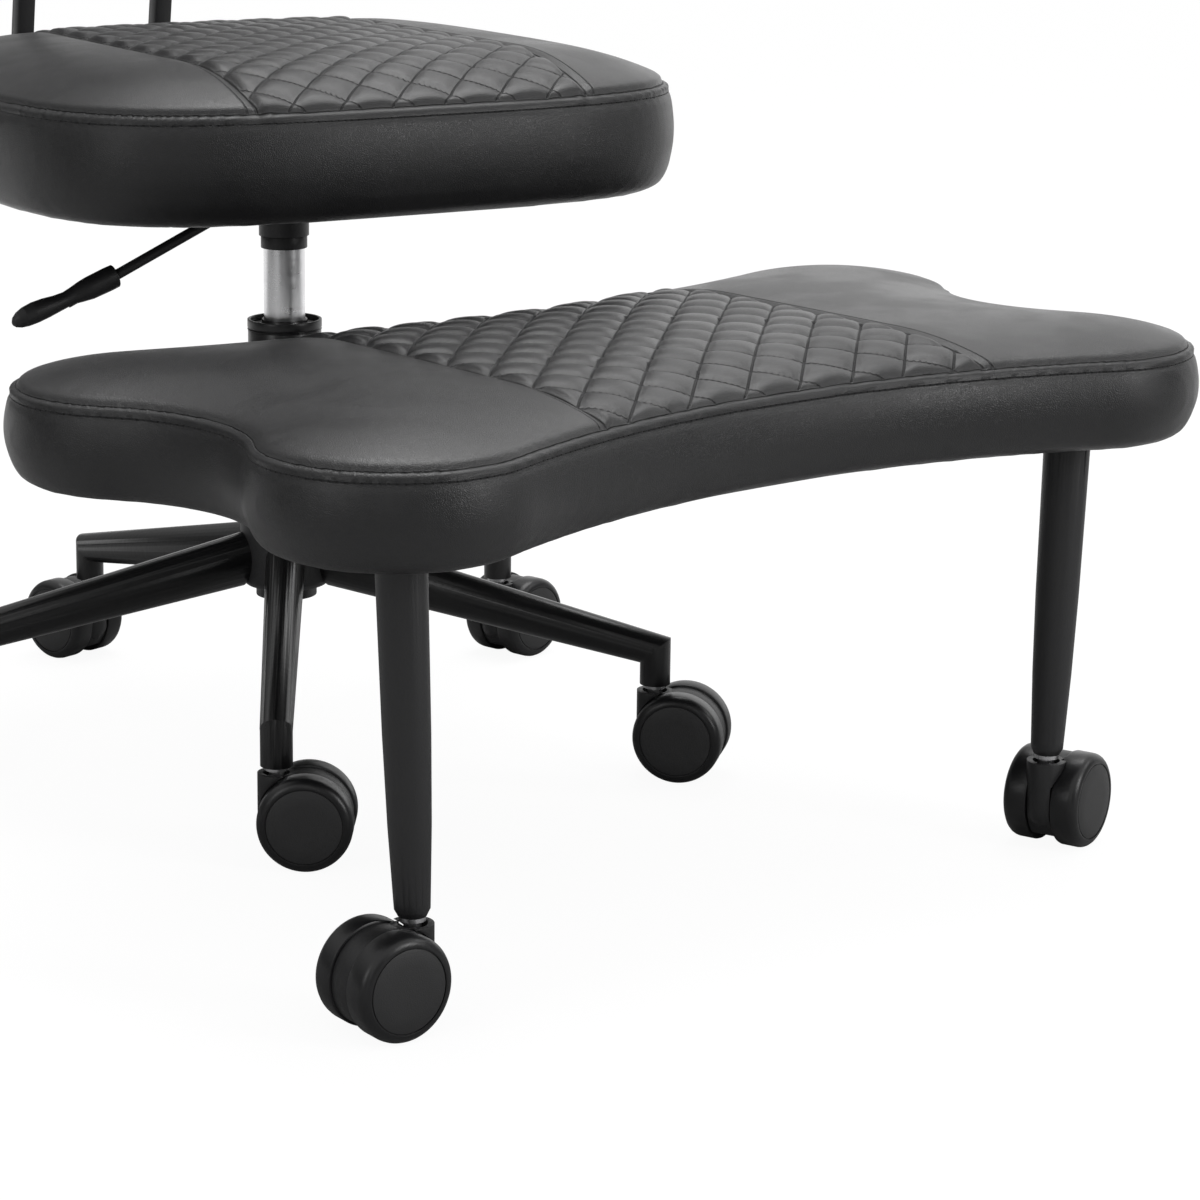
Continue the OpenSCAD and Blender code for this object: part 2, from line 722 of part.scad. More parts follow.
module column_clip() {
    color(steel) translate([0, 0, clip_z + run_gap])
        ring_of(clip_d, clip_groove_d + 2 * run_gap, clip_t - 2 * run_gap);
}
module gas_cylinder() {
    color(steel) rotate_extrude() difference() {
        union() {
            translate([0, cylinder_z]) square([gas_d / 2, sleeve_top - cylinder_z]);
            polygon([[0, sleeve_top], [gas_d / 2, sleeve_top], [taper_top_d / 2, cylinder_top],
                     [0, cylinder_top]]);
        }
        translate([0, cylinder_z + gland_t])
            square([gas_d / 2 - cylinder_wall, cylinder_top - cylinder_cap_t - cylinder_z - gland_t]);
        translate([0, cylinder_z - cut]) square([rod_d / 2 + run_gap, gland_t + 2 * cut]);
        translate([0, sleeve_z]) square([valve_d / 2 + run_gap, mech_h + cut]);
    }
}
module valve_pin() {
    color(steel) translate([0, 0, valve_top - valve_len]) cylinder(d = valve_d, h = valve_len);
}
module taper_sleeve() {
    color(black_plastic) translate([0, 0, sleeve_z])
        ring_of(sleeve_d, gas_d + 2 * run_gap, sleeve_h - seat_gap);
}

// Seat
module screw(head_down = 1) {
    mirror([0, 0, head_down > 0 ? 0 : 1]) {
        translate([0, 0, -screw_head_h]) cylinder(d = screw_head_d, h = screw_head_h);
        cylinder(d = screw_d, h = plate_t + screw_bite_len);
    }
}
module seat_mechanism() {
    color(black_satin) in_seat() difference() {
        union() {
            translate([-plate_w / 2, -plate_l / 2, seat_under - plate_t]) cube([plate_w, plate_l, plate_t]);
            difference() {
                translate([-box_w / 2, -box_l / 2, box_z])
                    cube([box_w, box_l, seat_under - plate_t - box_z]);
                translate([-box_w / 2 + box_wall, -box_l / 2 + box_wall, box_z + box_wall])
                    cube([box_w - 2 * box_wall, box_l - 2 * box_wall, mech_h]);
                translate([-box_w / 2 - cut, -lever_slot / 2, box_z + box_wall])
                    cube([box_wall + 2 * cut, lever_slot, mech_h]);
            }
            for (side = [-1, 1])
                translate([pivot_x - ear_l / 2 - ear_shift, side * (ear_gap + ear_t) / 2 - ear_t / 2,
                           lever_z - pivot_d])
                    cube([ear_l, ear_t, seat_under - plate_t - lever_z + pivot_d]);
            translate([0, 0, sleeve_top]) cylinder(d = socket_d, h = box_z + box_wall - sleeve_top);
        }
        rotate_extrude() polygon([
            [0, sleeve_top - cut], [gas_d / 2 + run_gap, sleeve_top - cut],
            [gas_d / 2 + run_gap, sleeve_top], [taper_top_d / 2 + run_gap, cylinder_top],
            [0, cylinder_top]]);
        translate([pivot_x, 0, lever_z]) rotate([90, 0, 0])
            cylinder(d = pivot_d + 2 * run_gap, h = ear_gap + 2 * ear_t + cut, center = true);
        for (x = [-1, 1]) for (y = [-1, 1])
            translate([x * plate_screw_pitch_x / 2, y * plate_screw_pitch_y / 2, seat_under - plate_t - cut])
                cylinder(d = screw_hole_d, h = plate_t + 2 * cut);
    }
}
module lever_rod() {
    slope = lever_len - grip_len + grip_bite;
    color(black_satin) in_seat() {
        union() {
            translate([bend_x, 0, lever_z]) rotate([0, 90, 0]) cylinder(d = lever_d, h = lever_in - bend_x);
            translate([bend_x, 0, lever_z]) sphere(d = lever_d);
            translate([bend_x, 0, lever_z]) rotate([0, -90 - lever_droop, 0])
                cylinder(d = lever_d, h = slope);
            translate([pivot_x, 0, lever_z]) rotate([90, 0, 0])
                cylinder(d = pivot_d, h = ear_gap + 2 * ear_t, center = true);
        }
    }
}
module grip_slice(station) {
    translate([grip_hump * station[3], 0, grip_len * station[0]]) scale([1, station[2], 1])
        cylinder(d = grip_h * station[1], h = slice_t, $fn = hull_fn);
}
module lever_grip() {
    end_d = grip_h * grip_end_share;
    color(black_plastic) in_seat() translate([bend_x, 0, lever_z]) rotate([0, -90 - lever_droop, 0])
        difference() {
            translate([0, 0, lever_len - grip_len]) rotate([0, grip_lift, 0]) union() {
                hull() {
                    for (k = [0:2]) grip_slice(grip_stations[k]);
                }
                hull() {
                    for (k = [2:3]) grip_slice(grip_stations[k]);
                    translate([grip_hump, 0, grip_len - end_d / 2]) scale([1, grip_flat, 1])
                        sphere(d = end_d, $fn = hull_fn);
                }
            }
            translate([0, 0, lever_len - grip_len - cut])
                cylinder(d = lever_d + 2 * run_gap, h = grip_bite + cut + seat_gap);
        }
}
module seat_board() {
    color(plywood) in_seat() difference() {
        translate([0, 0, seat_under]) board(seat_outline, seat_quilt_w / 2, seat_grid, board_t);
        seat_screw_places() cylinder(d = screw_d + 2 * run_gap, h = plate_t + screw_bite_len + seat_gap);
    }
}
module seat_cushion() {
    color(leather) in_seat() translate([0, 0, seat_under])
        cushion(seat_outline, seat_quilt_w / 2, seat_grid, seat_band_h, seat_crown_h, board_t + body_gap,
                run = seat_crown_run);
}
module seat_screw_places() {
    for (x = [-1, 1]) for (y = [-1, 1])
        translate([x * plate_screw_pitch_x / 2, y * plate_screw_pitch_y / 2, seat_under - plate_t])
            children();
    for (x = [-1, 1]) for (k = [0, 1])
        translate([x * bar_gap / 2, bar_root_y + bar_screw_in + k * bar_screw_pitch, seat_under - plate_t])
            children();
}
module seat_screws() {
    color(steel) in_seat() {
        for (x = [-1, 1]) for (y = [-1, 1])
            translate([x * plate_screw_pitch_x / 2, y * plate_screw_pitch_y / 2, seat_under - plate_t])
                screw();
        for (x = [-1, 1]) for (k = [0, 1])
            translate([x * bar_gap / 2, bar_root_y + bar_screw_in + k * bar_screw_pitch,
                       seat_under - bar_depth]) {
                translate([0, 0, -screw_head_h]) cylinder(d = screw_head_d, h = screw_head_h);
                cylinder(d = screw_d, h = bar_depth + screw_bite_len);
            }
        for (x = [-1, 1]) for (k = [-1, 1])
            along_bar(x) on_post() translate([back_mid + k * back_screw_pitch / 2, -bar_depth / 2, 0])
                rotate([-90, 0, 0]) {
                    translate([0, 0, -screw_head_h]) cylinder(d = screw_head_d, h = screw_head_h);
                    cylinder(d = screw_d, h = bar_depth + back_board_t * back_screw_share);
                }
    }
}

// Back bars, drawn along +X in their own plane, which then stands up behind the seat: the rounded section
// at each station of the path, as [along, up, heading], joined into one tube-shaped bar
bar_section = [for (c = [0:3]) for (k = [0:2])
    let (a = 90 * c + 45 * k, mid = 90 * c + 45)
    [sign(cos(mid)) * (bar_depth / 2 - bar_round) + bar_round * cos(a),
     sign(sin(mid)) * (bar_w / 2 - bar_round) + bar_round * sin(a)]];
function turned(v, a) = [v[0] * cos(a) - v[1] * sin(a), v[0] * sin(a) + v[1] * cos(a)];
bar_bend_end = [bar_level, 0] + bar_bend_r * [sin(bar_bend_turn), 1 - cos(bar_bend_turn)];
bar_rise_end = bar_bend_end + turned([bar_rise, 0], bar_bend_turn);
function second_bend(b) = bar_rise_end + turned(bar_bend2_r * [sin(b), cos(b) - 1], bar_bend_turn);
post_turn = bar_bend_turn - bar_bend2_turn;
bar_path = concat([[0, 0, 0]],
    [for (k = [0:bar_bend_steps]) let (a = bar_bend_turn * k / bar_bend_steps)
        [bar_level + bar_bend_r * sin(a), bar_bend_r * (1 - cos(a)), a]],
    [for (k = [0:bar_bend2_steps]) let (b = bar_bend2_turn * k / bar_bend2_steps, p = second_bend(b))
        [p[0], p[1], bar_bend_turn - b]],
    [let (p = second_bend(bar_bend2_turn) + turned([bar_post, 0], post_turn)) [p[0], p[1], post_turn]]);
module bar_body() {
    n = len(bar_section);
    stations = len(bar_path);
    polyhedron(
        [for (s = bar_path) for (q = bar_section) [s[0] - q[0] * sin(s[2]), s[1] + q[0] * cos(s[2]), q[1]]],
        concat([[for (k = [0:n - 1]) k]], [[for (k = [n - 1:-1:0]) (stations - 1) * n + k]],
               [for (s = [0:stations - 2]) for (k = [0:n - 1])
                   let (a = s * n + k, b = s * n + (k + 1) % n)
                   each [[a, a + n, b], [b, a + n, b + n]]]));
}
module after_bend(radius, turn) {
    translate([radius * sin(abs(turn)), sign(turn) * radius * (1 - cos(turn)), 0])
        rotate([0, 0, turn]) children();
}
module along_bar(side) {
    translate([side * bar_gap / 2, bar_root_y, bar_z]) rotate([90, 0, 90]) children();
}
module on_post() {
    translate([bar_level, 0, 0]) after_bend(bar_bend_r, bar_bend_turn) translate([bar_rise, 0, 0])
        after_bend(bar_bend2_r, -bar_bend2_turn) children();
}
module back_bar(side) {
    color(black_satin) in_seat() difference() {
        along_bar(side) bar_body();
        for (k = [0, 1])
            translate([side * bar_gap / 2, bar_root_y + bar_screw_in + k * bar_screw_pitch, bar_z])
                cylinder(d = screw_d + 2 * run_gap, h = bar_depth + cut, center = true);
        for (k = [-1, 1])
            along_bar(side) on_post() translate([back_mid + k * back_screw_pitch / 2, 0, 0])
                rotate([90, 0, 0]) cylinder(d = screw_d + 2 * run_gap, h = bar_depth + cut, center = true);
    }
}
// The frame of the backrest: +Z out of its front face, its pocketed back on the bars' front faces
module in_back() {
    in_seat() along_bar(0) on_post() translate([back_mid, bar_depth / 2, 0])
        rotate([90, 0, 90]) rotate([90, 0, 90]) children();
}
module back_board() {
    f = back_outline;
    loop = moved(loop_of(f, bar_gap, back_grid), -board_inset - body_gap);
    count = len(loop);
    bow_at = function(p) bowed(p[0], f(0)[0], back_bow);
    n = back_grid[0] + back_grid[1];
    rows = back_grid[2];
    share = 1 - (board_inset + body_gap) / (back_h / 2);
    share_x = 1 - (board_inset + body_gap) / (back_w / 2);
    grid = [for (i = [-n:n]) for (j = [0:rows])
        let (p = grid_point(f, bar_gap, back_grid, i, j)) [p[0] * share_x, p[1] * share]];
    size = len(grid);
    at = function(i, j) (i + n) * (rows + 1) + j;
    edge = concat([for (i = [-n:n - 1]) at(i, 0)], [for (j = [0:rows - 1]) at(n, j)],
                  [for (i = [n:-1:-n + 1]) at(i, rows)], [for (j = [rows:-1:1]) at(-n, j)]);
    tops = [for (i = [-n:n - 1]) for (j = [0:rows - 1])
        each [[at(i, j), at(i + 1, j), at(i + 1, j + 1)], [at(i, j), at(i + 1, j + 1), at(i, j + 1)]]];
    color(plywood) difference() {
        in_back() polyhedron(
            concat([for (p = grid) [p[0], p[1], back_board_t + bow_at(p)]],
                   [for (p = grid) [p[0], p[1], bow_at(p)]]),
            concat(tops, [for (t = tops) [t[0] + size, t[2] + size, t[1] + size]],
                   [for (k = [0:count - 1]) let (a = edge[k], b = edge[(k + 1) % count])
                       each [[b, a, a + size], [b, a + size, b + size]]]));
        for (x = [-1, 1]) for (k = [-1, 1])
            in_seat() along_bar(x) on_post()
                translate([back_mid + k * back_screw_pitch / 2, -bar_depth / 2, 0]) rotate([-90, 0, 0])
                    cylinder(d = screw_d + 2 * run_gap,
                             h = bar_depth + back_board_t * back_screw_share + seat_gap);
    }
}
module back_cushion() {
    color(leather) in_back()
        cushion(back_outline, bar_gap, back_grid, back_band_h, back_crown_h, back_board_t + body_gap,
                bow = back_bow);
}

// Bench
module bench_bracket() {
    color(black_satin) difference() {
        union() {
            translate([0, 0, hub_top + body_gap])
                cylinder(d = collar_d, h = collar_top - hub_top - body_gap);
            difference() {
                translate([-arm_w / 2, -arm_front, collar_top - arm_h]) cube([arm_w, arm_front, arm_h]);
                translate([-arm_w / 2 + arm_wall, -arm_front + arm_wall, collar_top - arm_h + arm_wall])
                    cube([arm_w - 2 * arm_wall, arm_front - collar_d / 2, arm_h - 2 * arm_wall]);
            }
            translate([-arm_w / 2, -foot_reach - foot_l, collar_top])
                cube([arm_w, foot_l, bench_under - plate_t - collar_top]);
            translate([-foot_w / 2, -foot_reach - foot_l, bench_under - plate_t])
                cube([foot_w, foot_l, plate_t]);
        }
        translate([0, 0, hub_z]) cylinder(d = column_d + 2 * swing_gap, h = bench_under);
        bench_screw_places() translate([0, 0, -cut]) cylinder(d = screw_hole_d, h = plate_t + 2 * cut);
    }
}
module bench_screw_places() {
    for (x = [-1, 1]) for (y = [-1, 1])
        translate([x * bench_screw_pitch_x / 2, -foot_reach - foot_l / 2 + y * bench_screw_pitch_y / 2,
                   bench_under - plate_t])
            children();
}
module bench_screws() {
    color(steel) bench_screw_places() screw();
}
module bench_stud_places() {
    for (side = [-1, 1])
        translate([side * (bench_leg_out + bench_leg_len * tan(bench_leg_lean)), -bench_leg_reach,
                   bench_under])
            children();
}
module bench_board() {
    color(plywood) difference() {
        translate([0, 0, bench_under]) board(bench_outline, bench_quilt_w / 2, bench_grid, board_t);
        bench_screw_places() cylinder(d = screw_d + 2 * run_gap, h = plate_t + screw_bite_len + seat_gap);
        bench_stud_places() translate([0, 0, -cut])
            cylinder(d = stud_d + 2 * run_gap, h = stud_h + cut + seat_gap);
    }
}
module bench_cushion() {
    color(leather) translate([0, 0, bench_under])
        cushion(bench_outline, bench_quilt_w / 2, bench_grid, bench_band_h, bench_crown_h,
                board_t + body_gap);
}
module bench_leg(side) {
    length = bench_leg_len / cos(bench_leg_lean);
    color(black_satin) difference() {
        union() {
            intersection() {
                translate([side * bench_leg_out, -bench_leg_reach, socket_z])
                    rotate([0, side * bench_leg_lean, 0]) rotate_extrude() polygon([
                        [0, 0], [bench_leg_tip_d / 2, 0], [bench_leg_end_d / 2, bench_leg_tip_h],
                        [bench_leg_d / 2 * leg_low_share, length * leg_low_at],
                        [bench_leg_d / 2 * leg_mid_share, length * leg_mid_at],
                        [bench_leg_d / 2, length], [bench_leg_d / 2, length + cut], [0, length + cut]]);
                translate([side * bench_leg_out, -bench_leg_reach, socket_z])
                    cylinder(d = bench_leg_out, h = bench_leg_len);
            }
            translate([side * (bench_leg_out + bench_leg_len * tan(bench_leg_lean)), -bench_leg_reach,
                       bench_under - cut]) cylinder(d = stud_d, h = stud_h + cut);
        }
        translate([side * bench_leg_out, -bench_leg_reach, socket_z - cut])
            cylinder(d = stem_d + 2 * run_gap, h = socket_depth + cut);
    }
}

base_hub();
base_castor_stems();
column_tube();
column_bushing();
column_clip();
thrust_bearing();
gas_rod();
gas_cylinder();
valve_pin();
taper_sleeve();
seat_mechanism();
lever_rod();
lever_grip();
seat_board();
seat_cushion();
seat_screws();
back_bar(1);  // back_bar_left
back_bar(-1);  // back_bar_right
back_board();
back_cushion();
bench_bracket();
bench_board();
bench_cushion();
bench_leg(1);  // bench_leg_left
bench_leg(-1);  // bench_leg_right
bench_screws();
bench_castor_stems();
for (i = [1:LEGS]) {
    base_leg(i);
}
for (i = [1:CASTORS]) {
    at_castor(i) castor_hood();
    at_castor(i) castor_axle();
    at_castor(i) castor_wheel(1);
    at_castor(i) castor_wheel(-1);
}
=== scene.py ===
# %% [markdown]
# # A swivel chair for sitting cross-legged
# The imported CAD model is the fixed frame. This lesson dresses it: leather cushions that are simulated,
# quilted and sewn, enamelled and powder-coated metal with soft edges, moulded castors, and a plain studio.
# The units are metres, the origin is on the floor under the column, and the bench lies towards -Y.

# %% Load the frame
import json
import math

import bmesh
import bpy
import numpy as np
from mathutils import Matrix, Vector

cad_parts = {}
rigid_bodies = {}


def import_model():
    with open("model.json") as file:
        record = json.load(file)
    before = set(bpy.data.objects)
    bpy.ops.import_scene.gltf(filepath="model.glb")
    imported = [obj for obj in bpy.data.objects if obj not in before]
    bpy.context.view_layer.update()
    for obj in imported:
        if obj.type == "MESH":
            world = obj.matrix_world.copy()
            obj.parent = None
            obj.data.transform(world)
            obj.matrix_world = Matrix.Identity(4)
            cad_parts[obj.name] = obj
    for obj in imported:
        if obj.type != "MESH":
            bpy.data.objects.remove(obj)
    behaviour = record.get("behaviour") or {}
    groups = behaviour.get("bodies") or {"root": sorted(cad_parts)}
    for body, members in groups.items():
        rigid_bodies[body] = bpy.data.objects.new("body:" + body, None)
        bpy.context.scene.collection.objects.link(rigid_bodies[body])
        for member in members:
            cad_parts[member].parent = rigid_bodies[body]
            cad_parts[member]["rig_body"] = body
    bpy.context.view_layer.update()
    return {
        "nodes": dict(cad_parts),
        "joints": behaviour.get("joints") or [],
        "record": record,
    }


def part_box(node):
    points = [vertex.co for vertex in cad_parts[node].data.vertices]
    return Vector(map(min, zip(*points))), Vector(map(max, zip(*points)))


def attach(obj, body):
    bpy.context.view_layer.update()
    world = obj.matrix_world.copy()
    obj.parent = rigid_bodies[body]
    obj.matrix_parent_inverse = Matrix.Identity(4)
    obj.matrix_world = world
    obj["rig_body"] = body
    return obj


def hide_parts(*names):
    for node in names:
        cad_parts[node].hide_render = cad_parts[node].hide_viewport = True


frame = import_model()
MM = 0.001

# %% [markdown]
# ## Camera
# The photograph was taken from the front right of the chair, a little above the seat, with a long lens.
# The place, the heading and the lens were solved from the castors, the gas lift and the two cushions, and
# the picture is a crop from a wider frame, which the lens shift stands for.

# %% Camera
view_scene = bpy.context.scene
camera = bpy.data.objects.new("camera", bpy.data.cameras.new("camera"))
view_scene.collection.objects.link(camera)
CAMERA_HEADING, CAMERA_DIP = math.radians(-36.54), 11.61
camera.location = (-1.2836, -1.8697, 0.6897)
camera.rotation_euler = (math.radians(90 - CAMERA_DIP), 0, CAMERA_HEADING)
camera.data.sensor_width = 36
camera.data.lens = 101.5
camera.data.shift_x = 0.1624
camera.data.shift_y = -0.1476
view_scene.camera = camera
view_scene.view_settings.view_transform = "Standard"
print("camera", tuple(round(v, 3) for v in camera.location))

# %% [markdown]
# ## Studio
# A plain white floor and backdrop. Dark pieces show little of their own colour: what is seen on them is
# what they reflect. The backdrop stands behind the chair, so the tops, seen at a low angle, mirror it and
# turn pale, while the side bands face the dim half of the room and stay near black. One broad soft lamp
# hangs over the chair, a small one stands at either side of it, and in front a softbox and a narrow strip
# draw the streaks on the legs and the cylinder.

# %% Nodes for shaders
def add_node(tree, kind, inputs=None, **settings):
    """Adds a shader node, sets its settings, and fills its inputs with values or with other outputs."""
    made = tree.nodes.new("ShaderNode" + kind)
    for name, value in settings.items():
        setattr(made, name, value)
    for name, value in (inputs or {}).items():
        socket = made.inputs[name]
        if isinstance(value, bpy.types.NodeSocket):
            tree.links.new(value, socket)
        else:
            socket.default_value = value
    return made


def calc(tree, operation, first, second=0.0, third=0.0):
    """One sum of a Math node, as an output."""
    return add_node(tree, "Math", {0: first, 1: second, 2: third}, operation=operation).outputs[0]


def fade(tree, value, low, high, at_low=0.0, at_high=1.0):
    """A smooth step from at_low to at_high as value goes from low to high."""
    return add_node(
        tree,
        "MapRange",
        {"Value": value, "From Min": low, "From Max": high, "To Min": at_low, "To Max": at_high},
        interpolation_type="SMOOTHSTEP",
    ).outputs["Result"]


def tinted(tree, mask, low, high):
    """A colour that goes from low to high with the mask."""
    return add_node(
        tree, "Mix", {0: mask, 6: (*low, 1), 7: (*high, 1)}, data_type="RGBA", clamp_factor=True
    ).outputs[2]


# %% World
world = bpy.data.worlds.new("studio")
world.use_nodes = True
view_scene.world = world
sky = world.node_tree
sky.nodes.clear()
way = add_node(sky, "TexCoord").outputs["Generated"]
height = add_node(sky, "SeparateXYZ", {"Vector": way}).outputs["Z"]
ceiling = fade(sky, height, 0.05, 0.8, 0.09, 0.80)
heading = (-math.sin(CAMERA_HEADING), math.cos(CAMERA_HEADING), 0)
towards = add_node(sky, "VectorMath", {0: way, 1: heading}, operation="DOT_PRODUCT").outputs["Value"]
backdrop = fade(sky, towards, 0.30, 0.75)
GLOW_HEADING = math.radians(71.5)
right_of_it = (math.sin(GLOW_HEADING), math.cos(GLOW_HEADING), 0)
to_glow = add_node(sky, "VectorMath", {0: way, 1: right_of_it}, operation="DOT_PRODUCT").outputs["Value"]
backdrop = calc(sky, "MULTIPLY", backdrop, fade(sky, to_glow, 0.55, 0.93, 0.22, 1.30))
path = add_node(sky, "LightPath")
seen = calc(sky, "MAXIMUM", path.outputs["Is Camera Ray"], path.outputs["Is Transmission Ray"])
mirrored = calc(sky, "MULTIPLY", path.outputs["Is Glossy Ray"], backdrop)
strength = calc(sky, "MAXIMUM", ceiling, calc(sky, "MAXIMUM", seen, mirrored))
light = add_node(sky, "Background", {"Color": (1, 1, 1, 1), "Strength": strength})
add_node(sky, "OutputWorld", {"Surface": light.outputs[0]})

# %% Lamps
def soft_lamp(name, place, target, size, watts):
    """An area lamp at place that faces target; size is its width and height."""
    lamp = bpy.data.objects.new(name, bpy.data.lights.new(name, "AREA"))
    view_scene.collection.objects.link(lamp)
    lamp.location = place
    lamp.rotation_euler = (Vector(target) - Vector(place)).to_track_quat("-Z", "Y").to_euler()
    lamp.data.shape = "RECTANGLE"
    lamp.data.size, lamp.data.size_y = size
    lamp.data.energy = watts


MIDDLE = (0, -0.2, 0.3)
soft_lamp("overhead_softbox", (0.6, 0.2, 2.6), MIDDLE, (1.8, 1.8), 42)
soft_lamp("left_softbox", (-2.4, -0.6, 1.0), MIDDLE, (0.9, 0.9), 6)
soft_lamp("right_softbox", (2.2, -1.6, 1.8), MIDDLE, (0.8, 0.8), 6)
soft_lamp("front_softbox", (0.95, -2.5, 1.0), (0, -0.2, 0.45), (0.6, 0.9), 16)
soft_lamp("front_strip", (-1.7, -2.3, 0.85), MIDDLE, (0.15, 1.5), 2)

# %% Floor
FLOOR_HALF = 12
floor_mesh = bmesh.new()
bmesh.ops.create_grid(floor_mesh, x_segments=1, y_segments=1, size=FLOOR_HALF)
floor_data = bpy.data.meshes.new("floor")
floor_mesh.to_mesh(floor_data)
floor_mesh.free()
floor = bpy.data.objects.new("floor", floor_data)
view_scene.collection.objects.link(floor)
floor_paint = bpy.data.materials.new("floor_paint")
floor_paint.use_nodes = True
tree = floor_paint.node_tree
tree.nodes.clear()
path = add_node(tree, "LightPath")
place = add_node(tree, "TexCoord").outputs["Object"]
towards = add_node(tree, "VectorMath", {0: place, 1: heading}, operation="DOT_PRODUCT").outputs["Value"]
mirrored = calc(tree, "MULTIPLY", path.outputs["Is Glossy Ray"], fade(tree, towards, 0.3, 1.2))
seen = calc(tree, "MAXIMUM", path.outputs["Is Camera Ray"], path.outputs["Is Transmission Ray"])
shown = calc(tree, "MAXIMUM", seen, mirrored)
paint = tinted(tree, shown, (0.42, 0.42, 0.42), (0.94, 0.94, 0.94))
matt = add_node(tree, "BsdfDiffuse", {"Color": paint})
white = add_node(tree, "Emission", {"Color": (1, 1, 1, 1), "Strength": 1.04})
share = calc(tree, "MULTIPLY", shown, 0.90)
both = add_node(tree, "MixShader", {0: share, 1: matt.outputs[0], 2: white.outputs[0]})
add_node(tree, "OutputMaterial", {"Surface": both.outputs[0]})
floor_data.materials.append(floor_paint)
print("studio ready")

# %% [markdown]
# ## Shared effects
# Three effects are node groups: the pebbled grain of the leather, the orange peel of the sprayed coats
# and the moulded nylon, and a sewn line with its stitches. They put out heights and masks, and the shader
# itself stays in each material.

# %% Group helper
def effect_group(name, inputs, outputs):
    """An empty shader group with float sockets; returns its tree and its two ends."""
    group = bpy.data.node_groups.new(name, "ShaderNodeTree")
    for label, value in inputs.items():
        group.interface.new_socket(label, in_out="INPUT", socket_type="NodeSocketFloat").default_value = value
    for label in outputs:
        group.interface.new_socket(label, in_out="OUTPUT", socket_type="NodeSocketFloat")
    return group, group.nodes.new("NodeGroupInput"), group.nodes.new("NodeGroupOutput")


def place_group(tree, group, inputs):
    """The group as a node of a material, with its inputs filled in."""
    made = tree.nodes.new("ShaderNodeGroup")
    made.node_tree = group
    for name, value in inputs.items():
        if isinstance(value, bpy.types.NodeSocket):
            tree.links.new(value, made.inputs[name])
        else:
            made.inputs[name].default_value = value
    return made


# %% Grain
grain_group, ends_in, ends_out = effect_group("pebble_grain", {"Cells per metre": 900}, ["Height", "Shade"])
place = add_node(grain_group, "TexCoord").outputs["Object"]
rough_place = add_node(grain_group, "TexNoise", {"Vector": place, "Scale": 300, "Detail": 2})
bent = add_node(
    grain_group, "VectorMath", {0: rough_place.outputs["Color"], "Scale": 0.0012}, operation="SCALE"
)
moved_place = add_node(grain_group, "VectorMath", {0: place, 1: bent.outputs[0]}, operation="ADD")
cells = add_node(
    grain_group,
    "TexVoronoi",
    {"Vector": moved_place.outputs[0], "Scale": ends_in.outputs[0]},
    feature="DISTANCE_TO_EDGE",
)
pebble = fade(grain_group, cells.outputs["Distance"], 0.0, 0.22)
fine = add_node(grain_group, "TexNoise", {"Vector": place, "Scale": 2600, "Detail": 2}).outputs["Fac"]
cloudy = add_node(grain_group, "TexNoise", {"Vector": place, "Scale": 22, "Detail": 3}).outputs["Fac"]
grain_height = calc(grain_group, "MULTIPLY_ADD", fine, 0.35, pebble)
grain_group.links.new(grain_height, ends_out.inputs["Height"])
grain_group.links.new(cloudy, ends_out.inputs["Shade"])

# %% Orange peel
peel_group, ends_in, ends_out = effect_group("orange_peel", {"Waves per metre": 260}, ["Height", "Dust"])
place = add_node(peel_group, "TexCoord").outputs["Object"]
waves = add_node(peel_group, "TexNoise", {"Vector": place, "Scale": ends_in.outputs[0], "Detail": 1})
dust = add_node(peel_group, "TexNoise", {"Vector": place, "Scale": 1900, "Detail": 3, "Roughness": 0.7})
peel_group.links.new(waves.outputs["Fac"], ends_out.inputs["Height"])
peel_group.links.new(dust.outputs["Fac"], ends_out.inputs["Dust"])

# %% Sewn line
sewn_group, ends_in, ends_out = effect_group(
    "sewn_line", {"Across": 0.0, "Along": 0.0, "Crease": 0.001, "Thread": 0.0005, "Pitch": 0.0045},
    ["Crease", "Stitch", "Hole"],
)
away = calc(sewn_group, "ABSOLUTE", ends_in.outputs["Across"])
crease_share = calc(sewn_group, "DIVIDE", away, ends_in.outputs["Crease"])
crease = fade(sewn_group, crease_share, 0.0, 1.0, 1.0, 0.0)
stitch_count = calc(sewn_group, "DIVIDE", ends_in.outputs["Along"], ends_in.outputs["Pitch"])
step = calc(sewn_group, "FRACT", stitch_count)
middle = calc(sewn_group, "ABSOLUTE", calc(sewn_group, "SUBTRACT", step, 0.5))
on_stitch = fade(sewn_group, middle, 0.30, 0.38, 1.0, 0.0)
thread_share = calc(sewn_group, "DIVIDE", away, ends_in.outputs["Thread"])
on_thread = fade(sewn_group, thread_share, 0.6, 1.0, 1.0, 0.0)
hole = calc(sewn_group, "MULTIPLY", fade(sewn_group, middle, 0.40, 0.46), on_thread)
sewn_group.links.new(crease, ends_out.inputs["Crease"])
sewn_group.links.new(calc(sewn_group, "MULTIPLY", on_stitch, on_thread), ends_out.inputs["Stitch"])
sewn_group.links.new(hole, ends_out.inputs["Hole"])
print("effects", [g.name for g in bpy.data.node_groups])

# %% [markdown]
# ## Hard finishes
# The base legs and the column are stove-enamelled black, the bench legs and the steelwork under the seat
# are powder-coated, the castors are nylon, and the gas cylinder is chromed. Each has its own roughness,
# a sprayed or moulded texture at its real scale, and a little unevenness in its gloss.

